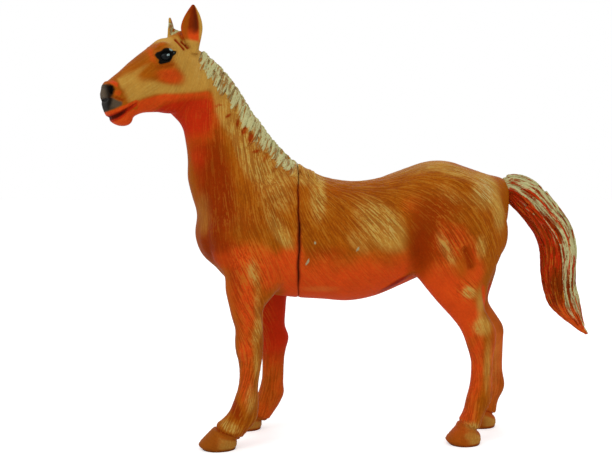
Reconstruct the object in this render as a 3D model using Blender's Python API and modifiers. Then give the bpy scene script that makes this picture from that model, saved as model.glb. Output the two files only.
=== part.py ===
"""A moulded toy horse, standing square and looking to its left, as three solid plastic mouldings.

The front moulding carries the head, neck, mane and forelegs. The rear moulding carries the barrel,
the quarters and the hind legs. They meet at an upright joint behind the shoulder and are held by an
oval peg in a socket. The tail is a third moulding, plugged into the rump.

Shapes are lofted through named stations and blended into one skin, as a sculptor joins clay.
Tables are in millimetres: X runs from nose to tail, Y to the horse's right, Z up.
"""

import math

import bmesh
import bpy
from mathutils import Matrix, Vector

MM = 0.001

# Driving dimensions, in millimetres
FLOOR_CENTRE = (15.15, -1.5, 0.0)  # the middle of the figure's footprint in the tables' frame
JOINT_X = -2.9  # the upright joint between the front and rear mouldings
GAP = 0.3  # clearance between mouldings that touch
PEG_REACH = 7.0  # how far the oval peg enters the front moulding
PEG_HALF = (7.0, 9.5)  # the peg's half width and half height
PEG_MIDDLE = 66.0  # height of the peg's centre above the floor
TAIL_PEG_RADIUS = 1.7
TAIL_PEG_REACH = 6.0
TAIL_SEAT = (62.8, 0.0, 80.6)  # where the tail's root is seated in the rump
TAIL_ANGLE = math.radians(-12)  # slope of the tail's peg below the horizontal, towards the tail
HEAD_PIVOT = (-34.0, -3.0)  # the point on the neck about which the head is turned
HEAD_TURN = math.radians(27)  # the head looks this far towards the horse's left
VOXEL = 0.8  # grain of the blended skin before it is thinned
FRONT_SHARE = 0.104  # share of the front skin's triangles that thinning keeps
REAR_SHARE = 0.091
SOCKET_MOUTH = 2.0  # how far the sockets' cutters stand out of the faces they cut
PEG_ROOT = 3.0  # how far the peg is sunk into the moulding that carries it
TAIL_PEG_ROOT = 5.0
PEG_LEAD = ((1.2, 1.0), (0.4, 0.94), (0.0, 0.84))  # the peg's nose: distance from its tip, scale
TRIM_LOW = (-60.0, -40.0, -20.0)  # a box around the whole figure, for the cuts made with boxes
TRIM_HIGH = (110.0, 40.0, 150.0)

# Body stations: lower x, z, upper x, z, middle y, half width, height of the widest place (-1 to 1)
TORSO = (
    (-33.0, 63.0, -33.0, 74.0, 0, 5.0, 0.0),
    (-30.0, 57.0, -30.0, 79.0, 0, 9.0, 0.0),
    (-24.5, 51.0, -24.0, 83.5, 0, 12.0, -0.1),
    (-18.0, 48.0, -18.0, 86.5, 0, 13.3, -0.2),
    (-11.0, 46.5, -11.0, 88.8, 0, 13.8, -0.25),
    (-3.0, 45.5, -3.0, 88.2, 0, 14.2, -0.2),
    (5.0, 45.0, 5.0, 84.4, 0, 15.0, -0.1),
    (13.5, 44.4, 13.5, 82.8, 0, 15.8, 0.0),
    (22.0, 46.0, 22.0, 83.5, 0, 16.0, 0.0),
    (30.5, 49.5, 30.5, 86.3, 0, 15.5, 0.05),
    (38.0, 52.8, 38.0, 88.9, 0, 14.8, 0.1),
    (45.0, 55.5, 45.0, 89.2, 0, 14.4, 0.1),
    (52.5, 58.5, 52.5, 86.8, 0, 13.2, 0.1),
    (58.5, 60.5, 58.5, 84.9, 0, 10.6, 0.1),
    (62.5, 64.0, 62.5, 84.0, 0, 6.6, 0.2),
    (65.0, 70.0, 65.0, 82.6, 0, 3.2, 0.2),
)

NECK = (
    (-27.1, 54.0, 6.0, 81.0, 0.0, 11.0, 0.0),
    (-33.0, 59.2, 2.5, 83.6, 0.0, 12.0, -0.1),
    (-35.3, 65.6, -0.6, 86.0, 0.0, 11.8, -0.15),
    (-34.7, 72.1, -4.6, 88.0, 0.0, 10.8, -0.2),
    (-36.2, 77.8, -8.6, 92.0, 0.0, 9.6, -0.2),
    (-37.5, 83.5, -13.2, 98.2, -0.6, 8.4, -0.2),
    (-37.4, 89.2, -18.0, 104.7, -1.3, 7.3, -0.15),
    (-38.0, 94.8, -22.7, 112.2, -2.0, 6.5, -0.1),
    (-39.2, 99.9, -28.0, 118.3, -2.8, 6.1, 0.0),
    (-42.9, 104.0, -33.0, 123.2, -3.6, 5.8, 0.1),
)

# Head stations in the head's own straight frame: distance forward of the pivot instead of x
HEAD = (
    (3.0, 106.5, -0.5, 123.2, 0, 5.2, 0.1),
    (6.2, 103.9, 3.5, 125.2, 0, 5.9, 0.15),
    (9.6, 103.2, 8.0, 126.0, 0, 6.6, 0.2),
    (13.0, 103.5, 12.4, 126.0, 0, 6.9, 0.3),
    (16.2, 103.3, 15.8, 123.3, 0, 6.2, 0.35),
    (18.8, 102.9, 18.8, 121.0, 0, 5.4, 0.3),
    (21.0, 101.8, 21.9, 118.4, 0, 4.8, 0.2),
    (23.4, 101.0, 25.0, 115.5, 0, 4.5, 0.1),
    (26.2, 101.0, 28.0, 112.9, 0, 4.7, 0.1),
    (28.9, 101.4, 29.9, 111.0, 0, 4.2, 0.1),
    (29.7, 103.6, 30.7, 109.0, 0, 2.8, 0.0),
)

# Leg stations: front x, z, rear x, z, middle y, half width, widest place
NEAR_FORE = (
    (-16.3, 82.6, -5.4, 81.1, -7.0, 4.0, 0),
    (-22.4, 74.8, -4.2, 73.3, -8.0, 5.4, 0),
    (-29.2, 66.4, -4.8, 64.6, -8.5, 6.2, 0),
    (-29.3, 59.0, -6.0, 57.1, -8.8, 6.4, 0),
    (-25.8, 53.5, -7.3, 51.6, -9.2, 6.0, 0),
    (-25.5, 49.2, -10.4, 47.3, -9.6, 5.4, 0),
    (-24.5, 44.6, -13.3, 43.9, -9.9, 4.8, 0),
    (-23.6, 40.6, -13.9, 40.6, -10.0, 4.2, 0),
    (-22.5, 36.9, -13.8, 36.9, -10.0, 4.0, 0),
    (-22.6, 33.2, -13.6, 33.2, -10.0, 4.1, 0),
    (-22.4, 30.1, -13.8, 30.1, -10.0, 3.9, 0),
    (-21.6, 27.1, -14.1, 27.0, -10.0, 3.2, 0),
    (-21.2, 23.1, -14.8, 23.0, -10.1, 2.9, 0),
    (-21.5, 19.1, -15.3, 19.0, -10.2, 3.0, 0),
    (-22.6, 15.8, -15.2, 15.7, -10.5, 3.5, 0),
    (-24.0, 12.2, -15.2, 12.1, -10.6, 3.6, 0),
    (-26.0, 9.6, -15.8, 8.8, -10.8, 3.4, 0),
    (-28.4, 7.6, -18.4, 5.6, -10.9, 3.8, 0),
    (-29.4, 5.0, -21.0, 2.6, -11.0, 3.8, 0),
)

FAR_FORE = (
    (-15.0, 82.0, -4.5, 80.6, 7.0, 4.0, 0),
    (-21.2, 75.2, -3.5, 73.6, 8.0, 5.4, 0),
    (-28.6, 66.4, -4.2, 64.4, 8.5, 6.2, 0),
    (-28.4, 58.5, -4.8, 56.5, 8.8, 6.4, 0),
    (-25.4, 52.6, -5.5, 50.5, 9.2, 6.0, 0),
    (-21.9, 47.9, -5.6, 46.5, 9.6, 5.4, 0),
    (-19.3, 42.9, -6.0, 42.9, 9.9, 4.8, 0),
    (-17.7, 38.6, -6.3, 38.6, 10.0, 4.2, 0),
    (-16.7, 35.0, -6.4, 34.9, 10.0, 4.0, 0),
    (-15.7, 31.4, -5.1, 31.2, 10.0, 4.1, 0),
    (-14.8, 27.9, -5.9, 27.8, 10.2, 3.9, 0),
    (-14.2, 24.3, -6.6, 24.3, 10.4, 3.2, 0),
    (-14.1, 19.7, -6.8, 19.7, 10.6, 2.9, 0),
    (-14.6, 15.4, -6.9, 15.4, 10.8, 3.1, 0),
    (-15.4, 12.2, -6.7, 12.1, 11.1, 3.5, 0),
    (-17.2, 9.4, -7.9, 9.2, 11.4, 3.5, 0),
    (-19.4, 7.2, -10.1, 5.6, 11.7, 3.6, 0),
    (-22.0, 5.0, -12.2, 2.4, 12.0, 3.8, 0),
)

NEAR_HIND = (
    (37.3, 84.4, 58.0, 81.3, -6.0, 6.6, 0),
    (33.9, 74.9, 62.0, 74.9, -7.0, 8.0, 0),
    (32.8, 66.4, 62.7, 67.7, -8.0, 7.7, 0),
    (33.3, 59.2, 61.3, 60.8, -8.6, 7.2, 0),
    (34.4, 53.0, 58.8, 55.1, -9.2, 6.4, 0),
    (38.2, 47.7, 56.8, 50.2, -9.6, 5.6, 0),
    (42.0, 43.3, 55.9, 45.8, -9.8, 4.9, 0),
    (44.8, 40.3, 55.6, 42.7, -9.7, 4.4, 0),
    (47.3, 37.2, 57.4, 39.5, -9.6, 4.0, 0),
    (48.9, 34.3, 59.2, 36.2, -9.5, 4.0, 0),
    (50.2, 30.6, 59.2, 31.8, -9.5, 3.8, 0),
    (51.4, 26.2, 58.4, 26.2, -9.4, 3.2, 0),
    (51.4, 21.3, 58.3, 21.3, -9.4, 3.0, 0),
    (50.8, 17.2, 58.3, 17.5, -9.4, 3.3, 0),
    (49.9, 13.8, 58.0, 13.6, -9.5, 3.7, 0),
    (49.2, 10.2, 56.2, 10.4, -9.5, 3.5, 0),
    (47.7, 7.6, 55.0, 7.4, -9.6, 3.6, 0),
    (46.2, 4.8, 54.2, 4.2, -9.6, 3.8, 0),
)

FAR_HIND = (
    (39.5, 84.1, 60.0, 81.0, 6.0, 6.6, 0),
    (37.0, 75.3, 63.5, 74.7, 7.0, 8.0, 0),
    (36.6, 66.4, 64.6, 67.7, 8.0, 7.7, 0),
    (37.4, 58.7, 64.2, 59.0, 8.6, 7.2, 0),
    (39.8, 52.1, 64.2, 53.7, 9.2, 6.4, 0),
    (43.9, 47.0, 63.0, 49.0, 9.6, 5.6, 0),
    (48.6, 42.2, 61.6, 44.0, 9.8, 4.9, 0),
    (52.0, 38.6, 62.3, 41.4, 9.9, 4.4, 0),
    (54.7, 35.6, 64.5, 38.2, 10.0, 4.0, 0),
    (56.7, 32.6, 67.0, 34.0, 10.0, 4.0, 0),
    (57.7, 28.2, 67.0, 29.6, 10.1, 3.8, 0),
    (58.4, 23.9, 66.9, 23.9, 10.2, 3.2, 0),
    (58.8, 19.1, 67.0, 19.1, 10.4, 3.0, 0),
    (58.6, 15.5, 67.8, 15.0, 10.5, 3.4, 0),
    (57.7, 12.1, 67.4, 12.4, 10.6, 3.7, 0),
    (56.7, 9.1, 65.8, 9.4, 10.8, 3.5, 0),
    (55.7, 6.4, 65.2, 6.6, 10.9, 3.6, 0),
    (54.8, 4.4, 65.1, 4.2, 11.0, 3.8, 0),
)

# Hoof stations, sole to coronet: toe x, z, heel x, z, middle y, half width, widest place
HOOF_WALL = (
    (1.5, -0.6, 11.0, -0.6, 0, 4.5, -0.1),
    (1.2, 0.2, 11.2, 0.2, 0, 4.7, -0.1),
    (0.0, 1.4, 11.5, 1.0, 0, 4.9, -0.1),
    (1.5, 3.4, 11.6, 1.9, 0, 4.6, -0.1),
    (3.2, 5.2, 11.4, 2.8, 0, 4.3, -0.1),
    (4.5, 6.5, 11.1, 3.5, 0, 4.05, -0.1),
    (5.3, 6.9, 10.6, 4.0, 0, 3.4, -0.1),
)

# Swellings of the head on both sides: forward, outward, height, half lengths, tilt in degrees
HEAD_SWELLINGS = (
    (5.6, 3.0, 113.2, (6.8, 3.5, 7.4), 0),
    (12.2, 4.9, 121.6, (3.6, 2.3, 2.4), 35),
    (12.8, 5.9, 119.8, (1.9, 1.4, 1.6), 0),
    (28.0, 2.6, 109.2, (2.2, 2.0, 2.6), 0),
    (25.2, 0.8, 101.5, (3.8, 2.8, 2.5), 18),
    (7.2, 1.2, 126.0, (3.0, 1.6, 1.7), 0),
    (5.6, 0.8, 127.0, (2.0, 1.4, 2.0), 0),
)

# Where each hoof stands, and its length as a share of the stations': toe x, middle y, share
HOOVES = {
    "near_fore": (-33.9, -11.0, 1.03),
    "far_fore": (-25.8, 12.0, 1.0),
    "near_hind": (43.5, -9.6, 0.96),
    "far_hind": (53.3, 11.0, 1.0),
}

# Tail stations: lower x, z, upper x, z, middle y, half width, widest place
TAIL = (
    (63.4, 77.9, 63.8, 83.6, 0, 2.9, 0),
    (65.4, 76.8, 66.2, 84.8, 0, 3.8, 0),
    (67.6, 74.0, 70.9, 84.2, 0, 4.6, 0),
    (70.3, 70.9, 75.9, 81.7, 0, 5.2, 0),
    (73.3, 67.2, 80.9, 75.5, 0, 5.6, 0),
    (75.6, 62.8, 85.9, 68.8, 0, 5.8, 0),
    (76.3, 58.0, 88.2, 61.1, 0, 5.6, 0),
    (76.2, 52.4, 88.2, 54.0, 0, 5.0, 0),
    (77.0, 47.9, 88.5, 48.2, 0, 4.4, 0),
    (78.6, 43.3, 89.9, 43.9, 0, 3.6, 0),
    (81.4, 39.7, 91.0, 40.0, 0, 2.7, 0),
    (85.5, 36.3, 91.9, 36.8, 0, 1.7, 0),
    (88.8, 33.6, 92.5, 34.2, 0, 0.9, 0),
    (91.5, 32.4, 92.7, 32.9, 0, 0.4, 0),
)

# Muscles: middle x, y, z, half lengths x, y, z, and tilt of the length about Y in degrees
SHOULDER_MUSCLES = (
    (-11.0, 8.0, 72.0, 7.0, 5.9, 12.0, -22),
    (-25.0, 7.0, 66.0, 6.5, 6.0, 7.5, 0),
    (-12.5, 9.2, 60.0, 8.0, 5.4, 7.0, 10),
    (-29.4, 4.2, 66.0, 4.6, 5.0, 7.5, 0),
)
QUARTER_MUSCLES = (
    (47.0, 7.2, 78.6, 10.0, 6.2, 7.0, 12),
    (57.2, 7.0, 67.0, 6.2, 6.4, 9.5, -4),
    (44.0, 9.4, 67.0, 9.5, 6.6, 11.0, 0),
    (38.0, 9.4, 57.0, 5.4, 4.6, 6.0, 20),
)

# The sheath's ridge under the flank: middle, half lengths, tilt in degrees
SHEATH_MIDDLE = (26.5, 0.0, 50.8)
SHEATH_HALVES = (7.0, 2.2, 1.9)
SHEATH_TILT = -26.0

# Ear stations up the ear: along its width, height, half width, half depth
EAR = (
    (0.4, 121.5, 1.6, 1.5),
    (0.3, 124.0, 2.1, 1.7),
    (0.1, 126.6, 2.9, 1.9),
    (0.0, 129.2, 3.4, 1.7),
    (0.2, 131.8, 2.9, 1.4),
    (0.4, 134.2, 1.8, 1.0),
    (0.5, 136.4, 0.4, 0.3),
)

# Each ear's middle ahead of the head's pivot and to its left, its shift in height and its facing
EARS = {
    "near": (3.7, 4.2, 0.0, math.radians(-100)),
    "far": (7.4, -4.2, -3.1, math.radians(150)),
}
EAR_HOLLOW = (0.1, 1.5, 129.0)  # the hollow's middle along the ear, towards its face, and up
EAR_HOLLOW_HALVES = (1.5, 2.1, 4.6)

# Mane: crest points from poll to withers as x, y, z with the length of the locks that fall there
CREST = (
    (-35.0, -3.8, 124.85, 4.0),
    (-31.0, -3.4, 122.05, 6.0),
    (-27.2, -2.8, 118.65, 7.5),
    (-23.2, -2.2, 114.05, 8.5),
    (-19.6, -1.7, 108.45, 9.0),
    (-16.2, -1.2, 103.25, 9.0),
    (-12.6, -0.7, 98.45, 8.5),
    (-8.6, -0.3, 93.85, 8.0),
    (-4.6, 0.0, 89.85, 7.0),
    (-0.4, 0.0, 86.85, 5.0),
)
CREST_TOP = (1.3, 1.5, 1.4)  # half lengths of the rolls of hair that make the crest
CREST_DEPTH = 0.9  # how far a roll's middle lies under the crest's line
LOCKS = 26
LOCK_HALF = (1.1, 1.5)  # half lengths of a lock along the neck and out from it
LOCK_SPREAD = 2.1  # how far out from the neck's middle the locks of the poll hang
LOCK_WIDENING = 0.087  # how much further out they hang for each millimetre down the neck
FAR_LOCK_SHARE = 0.7  # the locks on the horse's right are this much as long
LOCK_TILT = -18.0  # degrees
LOCK_SWING = 6.0  # degrees by which the tilt varies from lock to lock


def head_point(forward, outward, height):
    """A point of the head's straight frame, turned with the head. Outward is to the horse's left."""
    turned_x = HEAD_PIVOT[0] - forward * math.cos(HEAD_TURN) + outward * math.sin(HEAD_TURN)
    turned_y = HEAD_PIVOT[1] - forward * math.sin(HEAD_TURN) - outward * math.cos(HEAD_TURN)
    return Vector((turned_x, turned_y, height))


def catmull_rom(before, start, end, after, t):
    """One value on the smooth curve from start to end."""
    return 0.5 * (
        2 * start
        + (end - before) * t
        + (2 * before - 5 * start + 4 * end - after) * t * t
        + (3 * start - before - 3 * end + after) * t * t * t
    )


def smoothed(rows, steps):
    """The same stations with more between them, on a smooth curve through each column."""
    finer = []
    last = len(rows) - 1
    for index in range(last):
        before, start, end = rows[max(index - 1, 0)], rows[index], rows[index + 1]
        after = rows[min(index + 2, last)]
        for step in range(steps):
            t = step / steps
            finer.append([catmull_rom(*values, t) for values in zip(before, start, end, after)])
    finer.append(list(rows[-1]))
    return finer


def add_loft(form, rings):
    """Joins rings of equal count into one closed skin with flat ends."""
    loops = [[form.verts.new(point * MM) for point in ring] for ring in rings]
    sides = len(loops[0])
    for lower, upper in zip(loops, loops[1:]):
        for side in range(sides):
            after = (side + 1) % sides
            form.faces.new((lower[side], lower[after], upper[after], upper[side]))
    form.faces.new(reversed(loops[0]))
    form.faces.new(loops[-1])


def body_ring(station, sides, place=None):
    """A body section: an oval between two edge points, with its widest place set by the station."""
    low_x, low_z, high_x, high_z, middle, half_width, widest = station
    ring = []
    for side in range(sides):
        angle = math.tau * side / sides
        rise = math.sin(angle)
        share = widest + rise * (1 - widest if rise > 0 else 1 + widest)
        across = half_width * math.copysign(abs(math.cos(angle)) ** 0.9, math.cos(angle))
        along = 0.5 + 0.5 * share
        x = low_x + (high_x - low_x) * along
        z = low_z + (high_z - low_z) * along
        ring.append(place(x, middle - across, z) if place else Vector((x, middle + across, z)))
    return ring


def add_body(form, stations, sides=28, steps=3, place=None):
    """A loft through body stations."""
    add_loft(form, [body_ring(row, sides, place) for row in smoothed(stations, steps)])


def add_muscle(form, centre, halves, tilt=0.0, turn=0.0):
    """An ellipsoid that swells the skin."""
    matrix = (
        Matrix.Translation(Vector(centre) * MM)
        @ Matrix.Rotation(turn, 4, "Z")
        @ Matrix.Rotation(math.radians(tilt), 4, "Y")
        @ Matrix.Diagonal(Vector((*halves, 1 / MM)) * MM)
    )
    ball = bmesh.new()
    bmesh.ops.create_uvsphere(ball, u_segments=20, v_segments=12, radius=1.0, matrix=matrix)
    mesh = bpy.data.meshes.new("muscle")
    ball.to_mesh(mesh)
    ball.free()
    form.from_mesh(mesh)
    bpy.data.meshes.remove(mesh)


def add_pair(form, muscles):
    """Each muscle on both sides of the body."""
    for x, y, z, half_x, half_y, half_z, tilt in muscles:
        for side in (-1, 1):
            add_muscle(form, (x, side * y, z), (half_x, half_y, half_z), tilt)


def finish_form(form, name):
    """Closes a form and makes an object of it, moved from the tables' frame to the figure's own."""
    bmesh.ops.recalc_face_normals(form, faces=form.faces[:])
    form.transform(Matrix.Translation(-Vector(FLOOR_CENTRE) * MM))
    mesh = bpy.data.meshes.new(name)
    form.to_mesh(mesh)
    form.free()
    return bpy.data.objects.new(name, mesh)


def add_head(form):
    """The head's skin, with its jowls, brows, eyes, nostrils, chin and forelock."""
    add_body(form, HEAD, place=head_point)
    for side in (-1, 1):
        for forward, outward, height, halves, tilt in HEAD_SWELLINGS:
            add_muscle(form, head_point(forward, outward * side, height), halves, tilt, HEAD_TURN)


def add_mane(form):
    """A raised crest, and short locks that fall from it down both sides of the neck."""
    rows = smoothed(CREST, 6)
    for x, y, z, _ in rows:
        add_muscle(form, (x, y, z - CREST_DEPTH), CREST_TOP)
    poll_z = rows[0][2]
    for lock in range(LOCKS):
        x, y, z, length = rows[round(lock * (len(rows) - 1) / (LOCKS - 1))]
        spread = LOCK_SPREAD + LOCK_WIDENING * (poll_z - z)
        tilt = LOCK_TILT + LOCK_SWING * math.sin(lock * 2.1)
        for side, share in ((-1, 1.0), (1, FAR_LOCK_SHARE)):
            reach = length * share
            middle = (x + 0.12 * reach, y + side * spread, z - 0.48 * reach)
            add_muscle(form, middle, (*LOCK_HALF, 0.62 * reach), tilt)


def add_hoof(form, toe_x, middle_y, share):
    """A hoof wall: round at the toe, narrower at the heel, its top sloping down to the heel."""
    rows = []
    for low_x, low_z, high_x, high_z, middle, half_width, widest in HOOF_WALL:
        moved = (toe_x + share * low_x, low_z, toe_x + share * high_x, high_z, middle + middle_y)
        rows.append((*moved, half_width, widest))
    add_body(form, rows, sides=24, steps=1)


def ear_point(name, along, deep, height):
    """A point of an ear: along its width, towards its face, and up."""
    forward, outward, rise, facing = EARS[name]
    turned = HEAD_TURN + facing
    x = along * -math.sin(turned) + deep * math.cos(turned)
    y = along * math.cos(turned) + deep * math.sin(turned)
    return head_point(forward, outward, height + rise) + Vector((x, y, 0.0))


def add_ear(form, name):
    """A pricked ear: a leaf-shaped loft, widest half way up."""
    rings = []
    for along, height, half_width, half_depth in smoothed(EAR, 3):
        ring = []
        for step in range(16):
            angle = math.tau * step / 16
            across = along + half_width * math.cos(angle)
            ring.append(ear_point(name, across, half_depth * math.sin(angle), height))
        rings.append(ring)
    add_loft(form, rings)


def ear_scoop(name):
    """The hollow in the ear's face."""
    form = bmesh.new()
    add_muscle(form, ear_point(name, *EAR_HOLLOW), EAR_HOLLOW_HALVES, 0, HEAD_TURN + EARS[name][3])
    return form


def trim_form(axis, low=None, high=None):
    """The box around the whole figure, with one of its two planes across an axis moved."""
    form = bmesh.new()
    low_corner, high_corner = Vector(TRIM_LOW), Vector(TRIM_HIGH)
    if low is not None:
        low_corner[axis] = low
    if high is not None:
        high_corner[axis] = high
    size = high_corner - low_corner
    middle = (high_corner + low_corner) / 2
    matrix = Matrix.Translation(middle * MM) @ Matrix.Diagonal((*(size * MM), 1.0))
    bmesh.ops.create_cube(form, size=1.0, matrix=matrix)
    return form


def peg_form(half_width, half_height, start_x, end_x):
    """The oval peg, or the socket that takes it, lying along X with a rounded lead at its nose."""
    form = bmesh.new()
    rings = []
    nose = [(end_x + back, scale) for back, scale in PEG_LEAD]
    for x, scale in [(start_x, 1.0), *nose]:
        ring = []
        for side in range(28):
            angle = math.tau * side / 28
            across = half_width * scale * math.cos(angle)
            rise = half_height * scale * math.sin(angle)
            ring.append(Vector((x, across, PEG_MIDDLE + rise)))
        rings.append(ring)
    add_loft(form, rings)
    return form


def tail_peg_form(radius, start, end):
    """The tail's round peg, or its socket, from start to end along the tail's slope."""
    form = bmesh.new()
    direction = Vector((math.cos(TAIL_ANGLE), 0, -math.sin(TAIL_ANGLE)))
    middle = Vector(TAIL_SEAT) + direction * (start + end) / 2
    matrix = (
        Matrix.Translation(middle * MM)
        @ direction.to_track_quat("Z", "Y").to_matrix().to_4x4()
    )
    bmesh.ops.create_cone(
        form,
        cap_ends=True,
        segments=20,
        radius1=radius * MM,
        radius2=radius * MM,
        depth=(end - start) * MM,
        matrix=matrix,
    )
    return form


def material_for(name, colour, roughness):
    """A plain moulded plastic in the part's own colour."""
    material = bpy.data.materials.new(name)
    material.use_nodes = True
    shader = material.node_tree.nodes["Principled BSDF"]
    shader.inputs["Base Color"].default_value = (*colour, 1.0)
    shader.inputs["Roughness"].default_value = roughness
    shader.inputs["Metallic"].default_value = 0.0
    material.diffuse_color = (*colour, 1.0)
    return material


def blend_skin(obj, triangle_share):
    """Melts the joined forms into one skin, softens its creases and thins it."""
    remesh = obj.modifiers.new("blend", "REMESH")
    remesh.mode = "VOXEL"
    remesh.voxel_size = VOXEL * MM
    remesh.use_smooth_shade = True
    soften = obj.modifiers.new("soften", "SMOOTH")
    soften.factor = 0.5
    soften.iterations = 9
    thin = obj.modifiers.new("thin", "DECIMATE")
    thin.ratio = triangle_share


def boolean(obj, other, operation):
    """Cuts or joins another object, which becomes a hidden helper."""
    modifier = obj.modifiers.new(operation.lower() + "_" + other.name, "BOOLEAN")
    modifier.operation = operation
    modifier.solver = "EXACT"
    modifier.object = other


def helper(form, name, helpers):
    """A cutter or an added form, shown as wire and never rendered."""
    obj = finish_form(form, name)
    obj.hide_render = True
    obj.display_type = "WIRE"
    helpers.objects.link(obj)
    return obj


def build_front(parts, helpers):
    """The front moulding."""
    form = bmesh.new()
    add_body(form, TORSO[:9])
    add_body(form, NECK)
    add_body(form, NEAR_FORE, sides=20)
    add_body(form, FAR_FORE, sides=20)
    add_pair(form, SHOULDER_MUSCLES)
    add_head(form)
    add_mane(form)
    front = finish_form(form, "front_body")
    parts.objects.link(front)
    blend_skin(front, FRONT_SHARE)
    for name in ("near_fore", "far_fore"):
        hoof = bmesh.new()
        add_hoof(hoof, *HOOVES[name])
        boolean(front, helper(hoof, name + "_hoof_form", helpers), "UNION")
    for name in EARS:
        ear = bmesh.new()
        add_ear(ear, name)
        boolean(front, helper(ear, name + "_ear_form", helpers), "UNION")
        boolean(front, helper(ear_scoop(name), name + "_ear_hollow", helpers), "DIFFERENCE")
    behind = trim_form(0, low=JOINT_X - GAP / 2)
    boolean(front, helper(behind, "behind_the_joint", helpers), "DIFFERENCE")
    mouth_x, end_x = JOINT_X + SOCKET_MOUTH, JOINT_X - PEG_REACH - GAP
    socket = peg_form(PEG_HALF[0] + GAP, PEG_HALF[1] + GAP, mouth_x, end_x)
    boolean(front, helper(socket, "peg_socket", helpers), "DIFFERENCE")
    return front


def widened(stations, gap):
    """Stations grown by a gap all round, and started a gap earlier."""
    grown = []
    for index, (low_x, low_z, high_x, high_z, middle, half_width, widest) in enumerate(stations):
        back = gap if index == 0 else 0.0
        grown.append(
            (low_x - back, low_z - gap, high_x - back, high_z + gap, middle, half_width + gap, widest)
        )
    return tuple(grown)


def build_rear(parts, helpers):
    """The rear moulding."""
    form = bmesh.new()
    add_body(form, TORSO[3:])
    add_body(form, NEAR_HIND, sides=20)
    add_body(form, FAR_HIND, sides=20)
    add_pair(form, QUARTER_MUSCLES)
    add_muscle(form, SHEATH_MIDDLE, SHEATH_HALVES, SHEATH_TILT)
    rear = finish_form(form, "rear_body")
    parts.objects.link(rear)
    blend_skin(rear, REAR_SHARE)
    for name in ("near_hind", "far_hind"):
        hoof = bmesh.new()
        add_hoof(hoof, *HOOVES[name])
        boolean(rear, helper(hoof, name + "_hoof_form", helpers), "UNION")
    ahead = trim_form(0, high=JOINT_X + GAP / 2)
    boolean(rear, helper(ahead, "ahead_of_the_joint", helpers), "DIFFERENCE")
    peg = peg_form(*PEG_HALF, JOINT_X + PEG_ROOT, JOINT_X - PEG_REACH)
    boolean(rear, helper(peg, "locating_peg", helpers), "UNION")
    seat = bmesh.new()
    add_body(seat, widened(TAIL[:5], GAP), sides=20)
    boolean(rear, helper(seat, "tail_seat", helpers), "DIFFERENCE")
    socket = tail_peg_form(TAIL_PEG_RADIUS + GAP, -TAIL_PEG_REACH - GAP, 2 * SOCKET_MOUTH)
    boolean(rear, helper(socket, "tail_socket", helpers), "DIFFERENCE")
    return rear


def build_tail(parts, helpers):
    """The tail, with the peg that plugs it into the rump."""
    form = bmesh.new()
    add_body(form, TAIL, sides=18, steps=2)
    tail = finish_form(form, "tail")
    parts.objects.link(tail)
    peg = tail_peg_form(TAIL_PEG_RADIUS, -TAIL_PEG_REACH, TAIL_PEG_ROOT)
    boolean(tail, helper(peg, "tail_peg", helpers), "UNION")
    return tail


def cut_soles(obj, helpers):
    """Trims the hooves to one flat plane on the floor."""
    below = trim_form(2, high=0.0)
    boolean(obj, helper(below, obj.name + "_floor", helpers), "DIFFERENCE")


def main():
    """Builds the three mouldings in their collection and the helpers in another."""
    for obj in list(bpy.data.objects):
        bpy.data.objects.remove(obj)
    parts = bpy.data.collections.new("toy_horse")
    helpers = bpy.data.collections.new("cutters_and_forms")
    bpy.context.scene.collection.children.link(parts)
    bpy.context.scene.collection.children.link(helpers)
    front = build_front(parts, helpers)
    rear = build_rear(parts, helpers)
    tail = build_tail(parts, helpers)
    for body in (front, rear):
        cut_soles(body, helpers)
    front.data.materials.append(material_for("front_paint", (0.56, 0.22, 0.04), 0.5))
    rear.data.materials.append(material_for("rear_paint", (0.56, 0.22, 0.04), 0.5))
    tail.data.materials.append(material_for("tail_paint", (0.75, 0.62, 0.38), 0.5))


if __name__ == "__main__":
    main()
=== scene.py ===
"""Looks of a moulded toy horse: three hand-painted plastic mouldings and two glossy eyes.

The figure is sculpted as clay would be: lofts and muscles are melted into one skin with the mane's
strands, the face and creases are carved, and fine ridges are raised along the hair. The skin is then
parted at the upright joint behind the shoulder into the front and rear mouldings. The tail is a core
with locks over it, melted in the same way. Paint is airbrushed on as soft masks, which the
procedural paint reads as attributes.

Sizes are in millimetres of the sculptor's frame, where X runs from nose to tail, Y to the horse's
right and Z up. FLOOR_CENTRE and MM take that frame to the figure's own, in metres.
"""

import logging
import math
from collections.abc import Callable, Iterable, Sequence
from dataclasses import dataclass, field
from enum import Enum

import bmesh
import bpy
import numpy as np
from mathutils import Matrix, Vector
from mathutils.bvhtree import BVHTree
from mathutils.kdtree import KDTree


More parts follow.
